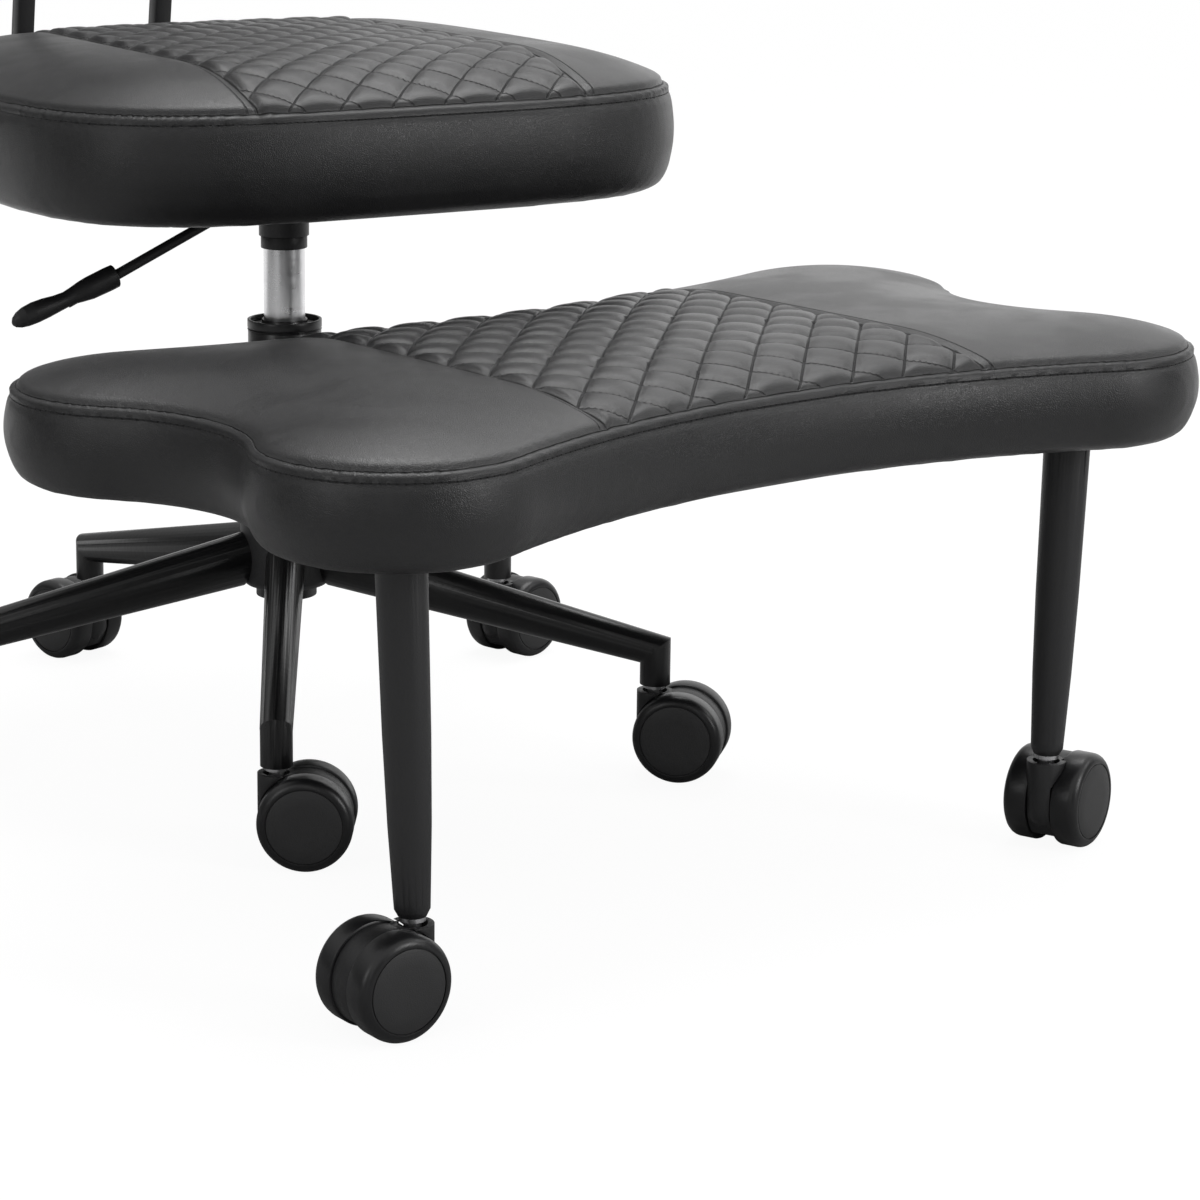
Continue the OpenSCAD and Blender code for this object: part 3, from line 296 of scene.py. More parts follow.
# %% Finish helper
def finish(name, colour, roughness, metallic=0.0, coat=0.0, specular=0.5):
    """A material with one Principled shader; returns it, its tree and the shader."""
    made = bpy.data.materials.new(name)
    made.use_nodes = True
    shader = made.node_tree.nodes["Principled BSDF"]
    shader.inputs["Base Color"].default_value = (*colour, 1)
    shader.inputs["Roughness"].default_value = roughness
    shader.inputs["Metallic"].default_value = metallic
    shader.inputs["Coat Weight"].default_value = coat
    shader.inputs["Coat Roughness"].default_value = 0.12
    shader.inputs["Specular IOR Level"].default_value = specular
    return made, made.node_tree, shader


def raised(tree, shader, heights, depth):
    """Feeds a height to the shader's normal through one Bump node."""
    bump = add_node(tree, "Bump", {"Height": heights, "Distance": depth, "Strength": 1.0})
    tree.links.new(bump.outputs["Normal"], shader.inputs["Normal"])


def sprayed(name, low, high, rough_low, rough_high, depth, coat=0.0, waves=260.0):
    """A sprayed coat: orange peel, a fine dusting of gloss, and a colour that drifts slightly."""
    made, tree, shader = finish(name, low, rough_low, coat=coat)
    peel = place_group(tree, peel_group, {"Waves per metre": waves})
    tree.links.new(tinted(tree, peel.outputs["Dust"], low, high), shader.inputs["Base Color"])
    uneven = fade(tree, peel.outputs["Dust"], 0.3, 0.7, rough_low, rough_high)
    tree.links.new(uneven, shader.inputs["Roughness"])
    raised(tree, shader, peel.outputs["Height"], depth)
    return made


# %% Coats, plastics and metals
enamel = sprayed(
    "black_enamel", (0.005, 0.005, 0.0055), (0.008, 0.008, 0.0085), 0.30, 0.37, 0.00012, coat=0.1)
powder = sprayed(
    "black_powder_coat", (0.010, 0.010, 0.011), (0.019, 0.019, 0.020), 0.42, 0.52, 0.00010, waves=900)
hub_coat = sprayed(
    "charcoal_coat", (0.012, 0.012, 0.013), (0.022, 0.022, 0.023), 0.46, 0.56, 0.00010, waves=900)
rim_nylon = sprayed(
    "gloss_nylon", (0.005, 0.005, 0.0055), (0.008, 0.008, 0.009), 0.30, 0.40, 0.00006, waves=400)
dish_nylon = sprayed(
    "textured_nylon", (0.018, 0.018, 0.0185), (0.030, 0.030, 0.031), 0.46, 0.58, 0.00010, waves=1500)
hood_nylon = sprayed(
    "moulded_nylon", (0.008, 0.008, 0.0085), (0.014, 0.014, 0.015), 0.40, 0.52, 0.00008, waves=700)
grip_nylon = sprayed(
    "grip_nylon", (0.006, 0.006, 0.0065), (0.011, 0.011, 0.012), 0.42, 0.52, 0.00008, waves=1100)
dark_board = sprayed(
    "stained_board", (0.010, 0.009, 0.008), (0.022, 0.020, 0.018), 0.75, 0.9, 0.0003, waves=500)


def drawn_metal(name, colour, roughness, lines, depth):
    """Polished or plated steel with fine draw lines round or along the piece."""
    made, tree, shader = finish(name, colour, roughness, metallic=1.0)
    place = add_node(tree, "TexCoord").outputs["Object"]
    long = add_node(tree, "Mapping", {"Vector": place, "Scale": lines})
    scratches = add_node(tree, "TexNoise", {"Vector": long.outputs[0], "Scale": 60, "Detail": 4})
    uneven = fade(tree, scratches.outputs["Fac"], 0.35, 0.65, roughness * 0.9, roughness * 1.15)
    tree.links.new(uneven, shader.inputs["Roughness"])
    lower = tuple(c * 0.94 for c in colour)
    tree.links.new(tinted(tree, scratches.outputs["Fac"], lower, colour), shader.inputs["Base Color"])
    raised(tree, shader, scratches.outputs["Fac"], depth)
    return made


chrome = drawn_metal("polished_cylinder", (0.80, 0.80, 0.81), 0.30, (1, 1, 3), 0.000001)
zinc = drawn_metal("zinc_plate", (0.55, 0.55, 0.56), 0.30, (6, 6, 6), 0.00003)
print("hard finishes", len(bpy.data.materials))

# %% [markdown]
# ## Leather
# The cover is a coated leather with a fine pebble, semi-matt, almost black. The seams and the quilting
# are drawn with the sewn line group from attributes that each cushion carries: how far a point is from
# the seam, how far along it is, and its place in the diamond lattice. So a stitch is crisp whatever the
# size of the mesh's faces. Each crease is pressed in by the bump and is also darkened in the colour,
# which is painted shade.

# %% Leather
def from_attribute(tree, name):
    return add_node(tree, "Attribute", attribute_name=name).outputs["Fac"]


def most(tree, *values):
    """The largest of several masks."""
    out = values[0]
    for value in values[1:]:
        out = calc(tree, "MAXIMUM", out, value)
    return out


LATTICE_X, LATTICE_Y = 41 * MM, 39 * MM
SECOND_ROW, PANEL_ROW = 8.5 * MM, 6 * MM
LATTICE_EDGE = math.hypot(LATTICE_X, LATTICE_Y) / 2
LATTICE_GAP = LATTICE_X * LATTICE_Y / math.hypot(LATTICE_X, LATTICE_Y)
leather, tree, shader = finish("leather", (0.02, 0.02, 0.021), 0.40)
grain = place_group(tree, grain_group, {"Cells per metre": 850})
edge = from_attribute(tree, "from_seam")
along = from_attribute(tree, "along_seam")
panel = from_attribute(tree, "from_panel")
panel_along = from_attribute(tree, "along_panel")
on_top = fade(tree, edge, 0.0, 0.0015)
quilted = calc(tree, "MULTIPLY", from_attribute(tree, "in_quilt"), on_top)
top_seam = place_group(tree, sewn_group, {"Across": edge, "Along": along, "Crease": 0.0008, "Thread": 0.0003})
low_line = place_group(
    tree, sewn_group,
    {"Across": calc(tree, "ADD", edge, SECOND_ROW), "Along": along, "Crease": 0.0007, "Thread": 0.0006,
     "Pitch": 0.0045})
panel_seam = place_group(tree, sewn_group, {"Across": panel, "Along": panel_along, "Crease": 0.0012})
panel_line = place_group(
    tree, sewn_group,
    {"Across": calc(tree, "SUBTRACT", panel, PANEL_ROW), "Along": panel_along, "Crease": 0.0009,
     "Thread": 0.0005, "Pitch": 0.0042})
lines = []
for name, other in (("lattice_u", "lattice_v"), ("lattice_v", "lattice_u")):
    place_u = from_attribute(tree, name)
    nearest = calc(tree, "SUBTRACT", place_u, calc(tree, "ROUND", place_u))
    across = calc(tree, "MULTIPLY", nearest, LATTICE_GAP)
    run = calc(tree, "MULTIPLY", from_attribute(tree, other), LATTICE_EDGE)
    lines.append(place_group(
        tree, sewn_group, {"Across": across, "Along": run, "Crease": 0.0010, "Thread": 0.00045,
                           "Pitch": 0.0036}))
quilt_crease = calc(tree, "MULTIPLY", most(tree, *[n.outputs["Crease"] for n in lines]), quilted)
quilt_stitch = calc(tree, "MULTIPLY", most(tree, *[n.outputs["Stitch"] for n in lines]), quilted)
panels_crease = most(tree, panel_seam.outputs["Crease"], panel_line.outputs["Crease"])
panels_crease = calc(tree, "MULTIPLY", panels_crease, on_top)
panels_stitch = calc(tree, "MULTIPLY", panel_line.outputs["Stitch"], on_top)
creases = most(tree, quilt_crease, panels_crease, top_seam.outputs["Crease"], low_line.outputs["Crease"])
stitches = most(tree, quilt_stitch, panels_stitch, low_line.outputs["Stitch"])
holes = most(tree, low_line.outputs["Hole"], calc(tree, "MULTIPLY", panel_line.outputs["Hole"], on_top))
hide = tinted(tree, grain.outputs["Shade"], (0.0075, 0.0075, 0.0082), (0.0115, 0.0115, 0.0122))
# Painted shade: the creases of the seams and the quilting are darkened towards near black in the colour.
hide_with_painted_crease_shade = add_node(
    tree, "Mix", {0: calc(tree, "MULTIPLY", creases, 0.75), 6: hide, 7: (0.0015, 0.0015, 0.0016, 1)},
    data_type="RGBA").outputs[2]
threaded = add_node(
    tree, "Mix", {0: calc(tree, "MULTIPLY", stitches, 0.9), 6: hide_with_painted_crease_shade, 7: (0.012, 0.012, 0.013, 1)},
    data_type="RGBA").outputs[2]
tree.links.new(threaded, shader.inputs["Base Color"])
worn = fade(tree, grain.outputs["Shade"], 0.35, 0.65, 0.34, 0.42)
tree.links.new(calc(tree, "MULTIPLY_ADD", creases, 0.3, worn), shader.inputs["Roughness"])
relief = calc(tree, "MULTIPLY", grain.outputs["Height"], 0.07)
relief = calc(tree, "MULTIPLY_ADD", creases, -1.0, relief)
relief = calc(tree, "MULTIPLY_ADD", stitches, 0.7, relief)
relief = calc(tree, "MULTIPLY_ADD", holes, -0.5, relief)
raised(tree, shader, relief, 0.0009)
print("leather nodes", len(tree.nodes))

# %% [markdown]
# ## Cushions
# Each cushion is a foam slab in a sewn cover: a top of three panels, a side band, and a welt where they
# meet. The slab is drawn as a disc pulled onto the cushion's outline and extruded, remeshed evenly, and
# blown up a little as cloth whose seams and underside are held. The diamonds are then pressed in.

# %% Outlines
def power_curve(value, power):
    return math.copysign(abs(value) ** (2 / power), value)


def arc(centre, radius, low, high):
    """An arc about centre as a function of a share from 0 to 1, from the angle low to the angle high."""
    def at(share):
        angle = low + (high - low) * share
        return centre[0] + radius * math.cos(angle), centre[1] + radius * math.sin(angle)

    return at


LOBE_R, WAIST_R = 0.078, 0.1103
FRONT_LOBE, BACK_LOBE = Vector((0.2545, 0.472)), Vector((0.2705, 0.2525))
FRONT_EDGE, BACK_EDGE = 0.4985, 0.212


def hollow_radius(lobe, rise):
    """The radius of an arc over the middle that meets both lobes and clears their centres' line by rise."""
    return (lobe.x**2 + rise**2 - LOBE_R**2) / (2 * (LOBE_R - rise))


def heading_of(way):
    return math.atan2(way.y, way.x)


front_r = hollow_radius(FRONT_LOBE, FRONT_EDGE - FRONT_LOBE.y)
back_r = hollow_radius(BACK_LOBE, BACK_LOBE.y - BACK_EDGE)
front_hollow, back_hollow = Vector((0, FRONT_EDGE + front_r)), Vector((0, BACK_EDGE - back_r))
between = FRONT_LOBE - BACK_LOBE
outwards = Vector((between.y, -between.x)).normalized()
waist_away = math.sqrt((WAIST_R + LOBE_R) ** 2 - (between.length / 2) ** 2)
waist = (FRONT_LOBE + BACK_LOBE) / 2 + outwards * waist_away
to_front, to_back = heading_of(FRONT_LOBE - front_hollow), heading_of(BACK_LOBE - back_hollow)
front_waist, back_waist = heading_of(FRONT_LOBE - waist), heading_of(BACK_LOBE - waist) + 2 * math.pi
HALF_BENCH = [
    (65, 90, arc(front_hollow, front_r, to_front, -math.pi / 2)),
    (25, 65, arc(FRONT_LOBE, LOBE_R, front_waist - math.pi, to_front + math.pi)),
    (-25, 25, arc(waist, WAIST_R, back_waist, front_waist)),
    (-65, -25, arc(BACK_LOBE, LOBE_R, to_back - math.pi, back_waist - math.pi)),
    (-90, -65, arc(back_hollow, back_r, math.pi / 2, to_back)),
]


def bench_outline(t):
    """The bench's outline, 90 degrees at the front, as (across, forward): four lobes joined by hollows."""
    turn = math.degrees(math.atan2(math.sin(t), abs(math.cos(t))))
    low, high, stretch = next(part for part in HALF_BENCH if turn >= part[0] - 1e-6)
    x, y = stretch((turn - low) / (high - low))
    return math.copysign(x, math.cos(t)), y


def rounded_outline(half_width, half_depth, power, ahead=0.0):
    """The outline of a rounded oblong whose middle lies ahead of the origin."""
    return lambda t: (
        half_width * power_curve(math.cos(t), power), ahead + half_depth * power_curve(math.sin(t), power))


seat_outline = rounded_outline(0.2295, 0.21925, 3.7, -0.00475)
back_outline = rounded_outline(0.210, 0.100, 3.6)


# %% Slab
def settled(obj, **modifier):
    """Applies one modifier to the object's mesh."""
    kind = modifier.pop("kind")
    made = obj.modifiers.new(kind, kind)
    for name, value in modifier.items():
        setattr(made, name, value)
    ready = bpy.data.meshes.new_from_object(obj.evaluated_get(bpy.context.evaluated_depsgraph_get()))
    obj.modifiers.clear()
    old, obj.data = obj.data, ready
    bpy.data.meshes.remove(old)


def next_ring(bm, face):
    """Extrudes the end face once; returns the new face and its points."""
    made = bmesh.ops.extrude_face_region(bm, geom=[face])["geom"]
    rim = [g for g in made if isinstance(g, bmesh.types.BMVert)]
    return next(g for g in made if isinstance(g, bmesh.types.BMFace)), rim


def slab(name, outline, side, count=360):
    """A closed slab on the outline, slightly drawn in at its top and bottom edges."""
    bm = bmesh.new()
    bmesh.ops.create_circle(bm, cap_ends=True, segments=count, radius=1)
    place = bm.verts.layers.int.new("place")
    ring = sorted(bm.verts, key=lambda v: math.atan2(v.co.y, v.co.x))
    points = [Vector((*outline(-math.pi + 2 * math.pi * k / count), 0)) for k in range(count)]
    ways = [(points[(k + 1) % count] - points[k - 1]).normalized() for k in range(count)]
    inwards = [Vector((-w.y, w.x, 0)) for w in ways]
    for k, v in enumerate(ring):
        v[place] = k
    steps = [(0.013, 0.0), (0.007, 0.002), (0.0025, 0.007), (-0.0005, 0.015), (-0.0032, side * 0.42),
             (-0.0036, side * 0.6), (-0.0018, side - 0.012), (0.0012, side - 0.002), (0.006, side + 0.0018)]
    bm.faces.ensure_lookup_table()
    face, rim = bm.faces[0], list(bm.verts)
    for level, (inset, z) in enumerate(steps):
        if level:
            face, rim = next_ring(bm, face)
        for v in rim:
            flat = points[v[place]] + inwards[v[place]] * inset
            v.co = (flat.x, -flat.y, z)
    bmesh.ops.recalc_face_normals(bm, faces=bm.faces)
    data = bpy.data.meshes.new(name)
    bm.to_mesh(data)
    bm.free()
    obj = bpy.data.objects.new(name, data)
    view_scene.collection.objects.link(obj)
    return obj


# %% Distances to the seam
def points_of(obj):
    co = np.empty(len(obj.data.vertices) * 3)
    obj.data.vertices.foreach_get("co", co)
    return co.reshape(-1, 3)


def put_points(obj, co):
    obj.data.vertices.foreach_set("co", co.ravel())
    obj.data.update()


def to_outline(co, outline, count=900):
    """For each point, how far inside the outline it is, and how far along the seam it is."""
    rim = np.array([outline(2 * math.pi * k / count) for k in range(count)]) * (1, -1)
    run = np.concatenate([[0], np.cumsum(np.linalg.norm(np.diff(rim, axis=0), axis=1))])
    inside, along = np.empty(len(co)), np.empty(len(co))
    way = np.roll(rim, -1, axis=0) - np.roll(rim, 1, axis=0)
    way /= np.linalg.norm(way, axis=1)[:, None]
    for start in range(0, len(co), 4000):
        part = co[start : start + 4000, :2]
        gap = part[:, None, :] - rim[None, :, :]
        k = np.argmin((gap**2).sum(2), axis=1)
        here = part - rim[k]
        inside[start : start + 4000] = here[:, 0] * way[k, 1] - here[:, 1] * way[k, 0]
        along[start : start + 4000] = run[k] + (here * way[k]).sum(1)
    middle = co[:, :2].mean(0)
    centre_sign = np.sign(inside[np.argmin(((co[:, :2] - middle) ** 2).sum(1))])
    return inside * centre_sign, along


def smooth_step(value, low, high):
    share = np.clip((value - low) / (high - low), 0, 1)
    return share * share * (3 - 2 * share)


# %% Blowing up
PRESSURE, TRAVEL_CAP = 3.0, 6 * MM


def blown(obj, held, pressure, cap, frames=20):
    """Cloth with pressure inside, held where held is 1; each point moves by at most cap."""
    group = obj.vertex_groups.new(name="held")
    for level in np.unique(np.round(held, 1)):
        if level > 0:
            group.add(np.nonzero(np.round(held, 1) == level)[0].tolist(), float(level), "REPLACE")
    before = points_of(obj)
    cloth = obj.modifiers.new("blown", "CLOTH")
    cloth.settings.quality = 4
    cloth.settings.mass = 0.4
    cloth.settings.tension_stiffness = 12
    cloth.settings.compression_stiffness = 12
    cloth.settings.shear_stiffness = 6
    cloth.settings.bending_stiffness = 3
    cloth.settings.vertex_group_mass = "held"
    cloth.settings.use_pressure = True
    cloth.settings.uniform_pressure_force = pressure
    cloth.settings.effector_weights.gravity = 0
    cloth.collision_settings.use_collision = False
    cloth.point_cache.frame_start, cloth.point_cache.frame_end = 1, frames
    for number in range(1, frames + 1):
        view_scene.frame_set(number)
    shown = obj.evaluated_get(bpy.context.evaluated_depsgraph_get())
    after = np.empty(len(shown.data.vertices) * 3)
    shown.data.vertices.foreach_get("co", after)
    obj.modifiers.clear()
    view_scene.frame_set(1)
    move = after.reshape(-1, 3) - before
    far = np.linalg.norm(move, axis=1)
    move *= np.minimum(1, cap / np.maximum(far, 1e-9))[:, None]
    put_points(obj, before + move)
    obj.vertex_groups.clear()
    print(obj.name, "blown up by", round(float(far.max()) / MM, 1), "mm, mean",
          round(float(far.mean()) / MM, 1))


# %% Sewing
SEAM_SHIFT, UNDER_LIFT, FLAT_HALF = 3 * MM, 6 * MM, 69.5 * MM


def to_diamond(value):
    """How far a lattice coordinate is from its diamond's edges: 0 at a crease, 1 in the middle."""
    return 1 - (1 - np.clip(np.abs(value - np.round(value)) * 2, 0, 1)) ** 2.4


def sewn_cushion(name, outline, side, crown, run, half_strip, cell_size, place, puff, bow=0.0, voxel=0.005):
    """A whole cushion: slab, crown, cloth, quilting and its seam attributes, set in place."""
    obj = slab(name, outline, side)
    settled(obj, kind="REMESH", mode="VOXEL", voxel_size=voxel)
    co = points_of(obj)
    inside, _ = to_outline(co, outline)
    upper = smooth_step(co[:, 2], side * 0.8, side)
    rise = 1 - (1 - np.clip(inside / run, 0, 1)) ** 2
    co[:, 2] += upper * (crown - 0.002) * rise
    put_points(obj, co)
    strip_edge = np.abs(np.abs(co[:, 0]) - half_strip)
    on_seam = np.maximum(smooth_step(-np.abs(inside - 0.002), -0.005, -0.002) * (co[:, 2] > side - 0.012),
                         smooth_step(-strip_edge, -0.007, -0.002) * (inside > 0.004))
    low = smooth_step(-co[:, 2], -0.010, -0.004)
    blown(obj, np.maximum(on_seam * upper, low), PRESSURE, TRAVEL_CAP)
    settled(obj, kind="SUBSURF", levels=1, render_levels=1)
    co = points_of(obj)
    inside, along = to_outline(co, outline)
    x, y = co[:, 0], co[:, 1]
    drop = np.maximum(0, side - co[:, 2])
    from_seam = np.maximum(inside, 0) - drop - SEAM_SHIFT
    from_panel = np.abs(x) - half_strip
    u, v = x / cell_size[0] + y / cell_size[1], x / cell_size[0] - y / cell_size[1]
    top = (co[:, 2] > side - 0.004) & (inside > 0)
    in_strip = smooth_step(-from_panel, 0.0, 0.004) * smooth_step(inside, 0.001, 0.012) * top
    cell = np.sqrt(to_diamond(u) * to_diamond(v))
    co[:, 2] += puff * (cell - 0.45) * in_strip
    welt = np.exp(-(((from_seam + 0.004) / 0.0035) ** 2)) * 0.0010
    groove = (np.exp(-((from_seam / 0.0022) ** 2)) * 0.0018
              + np.exp(-(((from_seam + SECOND_ROW) / 0.0020) ** 2)) * 0.0008)
    panel_groove = np.exp(-((from_panel / 0.003) ** 2)) * 0.0022 * top * smooth_step(inside, 0.0, 0.01)
    normals = np.empty(len(co) * 3)
    obj.data.vertex_normals.foreach_get("vector", normals)
    co += normals.reshape(-1, 3) * (welt - groove - panel_groove)[:, None]
    under = (co[:, 2] < 0.004) & (inside > 0.015)
    co[under, 2] += UNDER_LIFT
    for label, values in {
        "from_seam": from_seam, "along_seam": along, "from_panel": from_panel, "along_panel": y,
        "lattice_u": u, "lattice_v": v, "in_quilt": (from_panel < 0) * (inside > 0.0005) * top * 1.0,
    }.items():
        kept = obj.data.attributes.new(label, "FLOAT", "POINT")
        kept.data.foreach_set("value", values.astype(np.float32))
    wide = outline(0)[0]
    co[:, 2] += bow * (np.maximum(0, np.abs(co[:, 0]) - FLAT_HALF) / (wide - FLAT_HALF)) ** 2
    put_points(obj, co)
    obj.data.transform(place)
    obj.data.shade_smooth()
    obj.data.materials.clear()
    obj.data.materials.append(leather)
    print(name, len(obj.data.vertices), "points")
    return obj


# %% Bench cushion
BENCH_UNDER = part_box("bench_board")[0].z
bench_cushion = sewn_cushion(
    "bench_leather", bench_outline, 0.056, 0.014, 0.080, 0.143, (LATTICE_X, LATTICE_Y),
    Matrix.Translation((0, 0, BENCH_UNDER)), 0.0042)
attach(bench_cushion, "bench")
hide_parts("bench_cushion")

# %% Seat cushion
SEAT_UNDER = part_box("seat_board")[0].z
seat_turn = Matrix.Rotation(math.radians(-9), 4, "Z")
seat_cushion = sewn_cushion(
    "seat_leather", seat_outline, 0.0692, 0.024, 0.100, 0.115, (36 * MM, 37 * MM),
    seat_turn @ Matrix.Translation((0, 0, SEAT_UNDER)), 0.0038)
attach(seat_cushion, "seat")
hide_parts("seat_cushion")

# %% Back cushion
# The place is found by walking along the back bar: level, first bend, rise, second bend, post.
BEND, BEND2 = math.radians(99.5), math.radians(15.5)
BEND_R, BEND2_R, RISE, HALF_BAR = 60 * MM, 80 * MM, 106 * MM, 7 * MM
BAR_ROOT, BAR_REACH, CHECK_RISE, BACK_MIDDLE = 112 * MM, 332 * MM, 29 * MM, 106 * MM
POST = BEND - BEND2


def turned(x, y, angle):
    return Vector((x * math.cos(angle) - y * math.sin(angle), x * math.sin(angle) + y * math.cos(angle)))


bar_level = BAR_REACH - BEND_R * math.sin(BEND) + CHECK_RISE * math.tan(BEND - math.pi / 2) - BAR_ROOT
end = Vector((bar_level + BEND_R * math.sin(BEND), BEND_R * (1 - math.cos(BEND)))) + turned(RISE, 0, BEND)
end += turned(BEND2_R * math.sin(BEND2), BEND2_R * (math.cos(BEND2) - 1), BEND)
end += turned(BACK_MIDDLE, 0, POST) + turned(0, HALF_BAR, POST)
c, s = math.cos(POST), math.sin(POST)
back_place = seat_turn @ Matrix((
    (1, 0, 0, 0), (0, c, -s, BAR_ROOT + end.x), (0, s, c, SEAT_UNDER - HALF_BAR + end.y), (0, 0, 0, 1)))
back_cushion = sewn_cushion(
    "back_leather", back_outline, 0.042, 0.013, 0.080, 0.111, (LATTICE_X, LATTICE_Y), back_place, 0.0042,
    bow=0.022)
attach(back_cushion, "seat")
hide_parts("back_cushion")

# %% [markdown]
# ## Metal and moulded pieces
# The CAD solids have true sizes but dead sharp edges, and a real edge is always rounded a little and
# catches a line of light. So each of them is copied, its loose triangles are merged into whole faces,
# and its sharp edges are bevelled.

# %% Softened copies
def new_piece(name, bm, body, materials, smooth=35):
    """Makes the finished object of a bmesh: shaded smooth up to an angle, riding on its body."""
    data = bpy.data.meshes.new(name)
    bm.to_mesh(data)
    bm.free()
    data.shade_smooth()
    data.set_sharp_from_angle(angle=math.radians(smooth))
    for material in materials:
        data.materials.append(material)
    obj = bpy.data.objects.new(name, data)
    view_scene.collection.objects.link(obj)
    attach(obj, body)
    return obj


slot_of = {s["node"]: s["material_slot"] for s in frame["record"]["subparts"]}


def softened(node, width, material, segments=2):
    """A copy of a CAD node with bevelled edges, which replaces it."""
    bm = bmesh.new()
    bm.from_mesh(frame["nodes"][node].data)
    bmesh.ops.remove_doubles(bm, verts=bm.verts, dist=1e-5)
    bmesh.ops.dissolve_limit(bm, angle_limit=math.radians(0.5), verts=bm.verts, edges=bm.edges)
    sharp = [e for e in bm.edges if len(e.link_faces) == 2 and e.calc_face_angle() > math.radians(38)]
    bmesh.ops.bevel(bm, geom=sharp, offset=width, offset_type="OFFSET", segments=segments, profile=0.5,
                    affect="EDGES", clamp_overlap=True, material=-1)
    piece = new_piece(node + "_soft", bm, frame["nodes"][node]["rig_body"], [material])
    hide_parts(node)


for number in range(1, 6):
    softened(f"base_leg_{number}", 0.0012, enamel)
for node in ("column_tube", "bench_leg_left", "bench_leg_right"):
    softened(node, 0.0005, enamel if node == "column_tube" else powder)
for node in ("bench_bracket", "seat_mechanism", "lever_rod", "back_bar_left", "back_bar_right"):
    softened(node, 0.0004, powder)
softened("base_hub", 0.0012, hub_coat, 3)
softened("column_bushing", 0.0006, rim_nylon)
softened("taper_sleeve", 0.0005, hood_nylon)
softened("gas_cylinder", 0.0003, chrome)
for number in range(1, 8):
    softened(f"castor_{number}_hood", 0.0005, hood_nylon)

# %% [markdown]
# ## Castor wheels
# A wheel is a hollow nylon moulding: a rounded gloss rim, a fine groove, and a slightly domed textured
# disc. It is one half section spun round the axle, once for each of the fourteen places.

# %% Wheel section
WHEEL = [(0, 12.5), (3.05, 12.5), (3.05, 0.3), (3.4, 0), (6, 0), (6, 10), (26, 10), (26, 0), (28.6, 0),
         (29.6, 0.45), (30, 1.6), (30, 11.2), (29.75, 12.8), (29.1, 14.3), (28.0, 15.6), (26.6, 16.5),
         (25.2, 16.93), (24.4, 17.0), (24.1, 16.9), (24.0, 16.2), (23.5, 16.2), (23.4, 16.8), (22.9, 17.05),
         (14, 17.35), (0, 17.5)]
DISC_R, DISC_FACE = 23.7 * MM, 12.5 * MM
WHEEL_INSET = 8 * MM


def spun_wheel(place):
    """The section spun round its axle and moved to its place; the disc has the second material."""
    bm = bmesh.new()
    chain = [bm.verts.new((r * MM, 0, z * MM)) for r, z in WHEEL]
    edges = [bm.edges.new(pair) for pair in zip(chain, chain[1:])]
    bmesh.ops.spin(bm, geom=chain + edges, cent=(0, 0, 0), axis=(0, 0, 1), angle=2 * math.pi, steps=96,
                   use_merge=True)
    bmesh.ops.remove_doubles(bm, verts=bm.verts, dist=1e-6)
    bmesh.ops.recalc_face_normals(bm, faces=bm.faces)
    for face in bm.faces:
        middle = face.calc_center_median()
        if math.hypot(middle.x, middle.y) < DISC_R and middle.z > DISC_FACE:
            face.material_index = 1
    bmesh.ops.transform(bm, matrix=place, verts=bm.verts)
    if place.determinant() < 0:
        bmesh.ops.reverse_faces(bm, faces=bm.faces)
    return bm


joint_of = {j["child"]: j for j in frame["joints"]}
for number in range(1, 8):
    for side, sign in (("left", 1), ("right", -1)):
        body = f"wheel_{number}_{side}"
        axle = Vector(joint_of[body]["axis"]) * sign
        hub = Vector(joint_of[body]["pos_m"])
        turn = axle.to_track_quat("Z", "Y").to_matrix().to_4x4()
        place = Matrix.Translation(hub + axle * WHEEL_INSET) @ turn
        wheel = new_piece(
            f"castor_{number}_wheel_{side}_moulded", spun_wheel(place), body, [rim_nylon, dish_nylon],
            30)
        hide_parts(f"castor_{number}_wheel_{side}")

# %% [markdown]
# ## Lever grip
# The grip is a moulded paddle: square-cut where the rod enters, scooped at its waist for the fingers, and
# rounded at its end. It is one ring of points extruded and scaled from station to station.

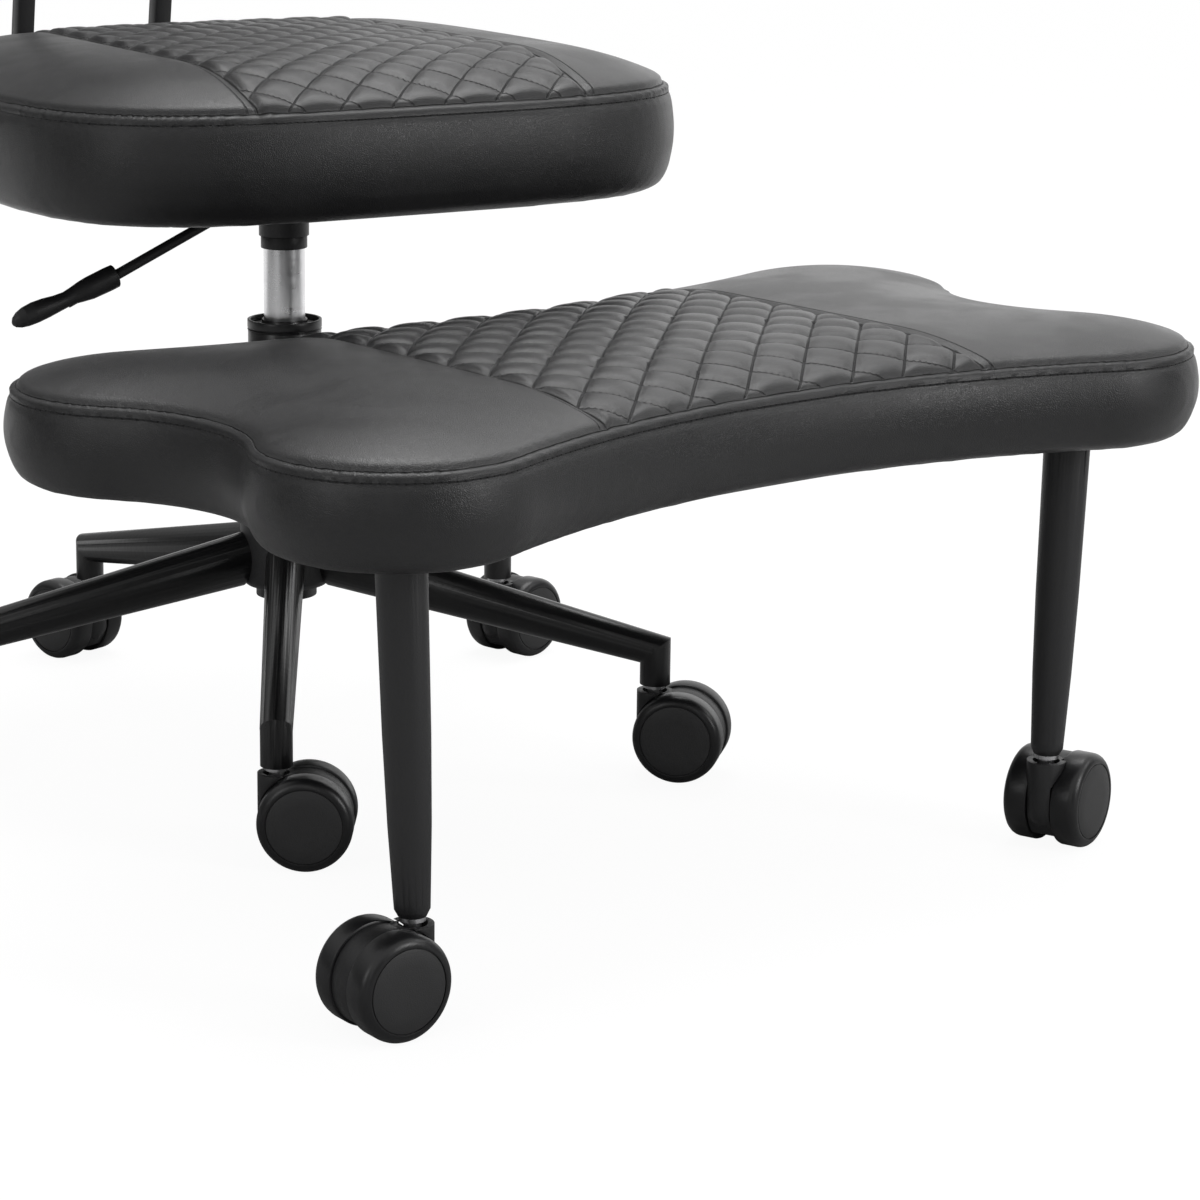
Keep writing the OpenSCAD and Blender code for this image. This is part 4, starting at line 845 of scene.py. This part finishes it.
# %% Lever grip
DROOP = math.radians(24.5)
ROD_R, ROD_BEND, GRIP_FROM, GRIP_LIFT = 3.5 * MM, 25 * MM, 108 * MM, math.radians(4)
bend = seat_turn @ Vector((-ROD_BEND, 0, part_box("lever_rod")[1].z - ROD_R))
GRIP = [(0, 7.2, 5.6, 0), (0.6, 7.9, 6.2, 0), (6, 8.1, 6.4, 0), (20, 7.8, 6.2, 0), (26, 7.0, 5.6, 0.2),
        (32, 5.9, 5.0, 0.2), (38, 5.3, 4.9, 0.0), (45, 5.8, 5.4, 0.2), (53, 6.8, 6.0, 0.8),
        (61, 7.2, 6.3, 1.2), (68, 6.7, 5.8, 1.3), (73, 5.4, 4.6, 1.2), (76.5, 3.4, 2.9, 1.0),
        (78, 1.2, 1.0, 0.8)]
grip_matrix = (
    Matrix.Translation(bend) @ seat_turn @ Matrix.Rotation(-math.pi / 2 - DROOP, 4, "Y")
    @ Matrix.Translation((0, 0, GRIP_FROM)) @ Matrix.Rotation(GRIP_LIFT, 4, "Y"))
bm = bmesh.new()
bmesh.ops.create_circle(bm, cap_ends=True, segments=32, radius=MM)
bmesh.ops.recalc_face_normals(bm, faces=bm.faces)
bm.faces.ensure_lookup_table()
face = bm.faces[0]
rim = list(bm.verts)
for level, (z, tall, wide, lift) in enumerate(GRIP):
    if level:
        face, rim = next_ring(bm, face)
        _, tall_before, wide_before, lift_before = GRIP[level - 1]
    for v in rim:
        angle = math.atan2(v.co.y, v.co.x)
        if level:
            angle = math.atan2(v.co.y / wide_before, (v.co.x - lift_before * MM) / tall_before)
        v.co = ((tall * math.cos(angle) + lift) * MM, wide * math.sin(angle) * MM, z * MM)
bmesh.ops.recalc_face_normals(bm, faces=bm.faces)
bmesh.ops.transform(bm, matrix=grip_matrix, verts=bm.verts)
grip = new_piece("lever_paddle", bm, "lever", [grip_nylon], 50)
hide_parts("lever_grip")

# %% [markdown]
# ## Last finishes
# Every CAD node that still shows gets the finish of its slot.

# %% Finishes for the rest
plain = {"steel": zinc, "chrome": chrome, "board": dark_board, "leg_gloss": enamel, "frame_satin": powder,
         "hub_satin": hub_coat, "bushing": rim_nylon, "wheel": rim_nylon, "hood": hood_nylon,
         "grip": grip_nylon, "leather": leather}
for node, obj in frame["nodes"].items():
    obj.data.materials.clear()
    obj.data.materials.append(plain[slot_of[node]])
print("finished nodes", len(frame["nodes"]))
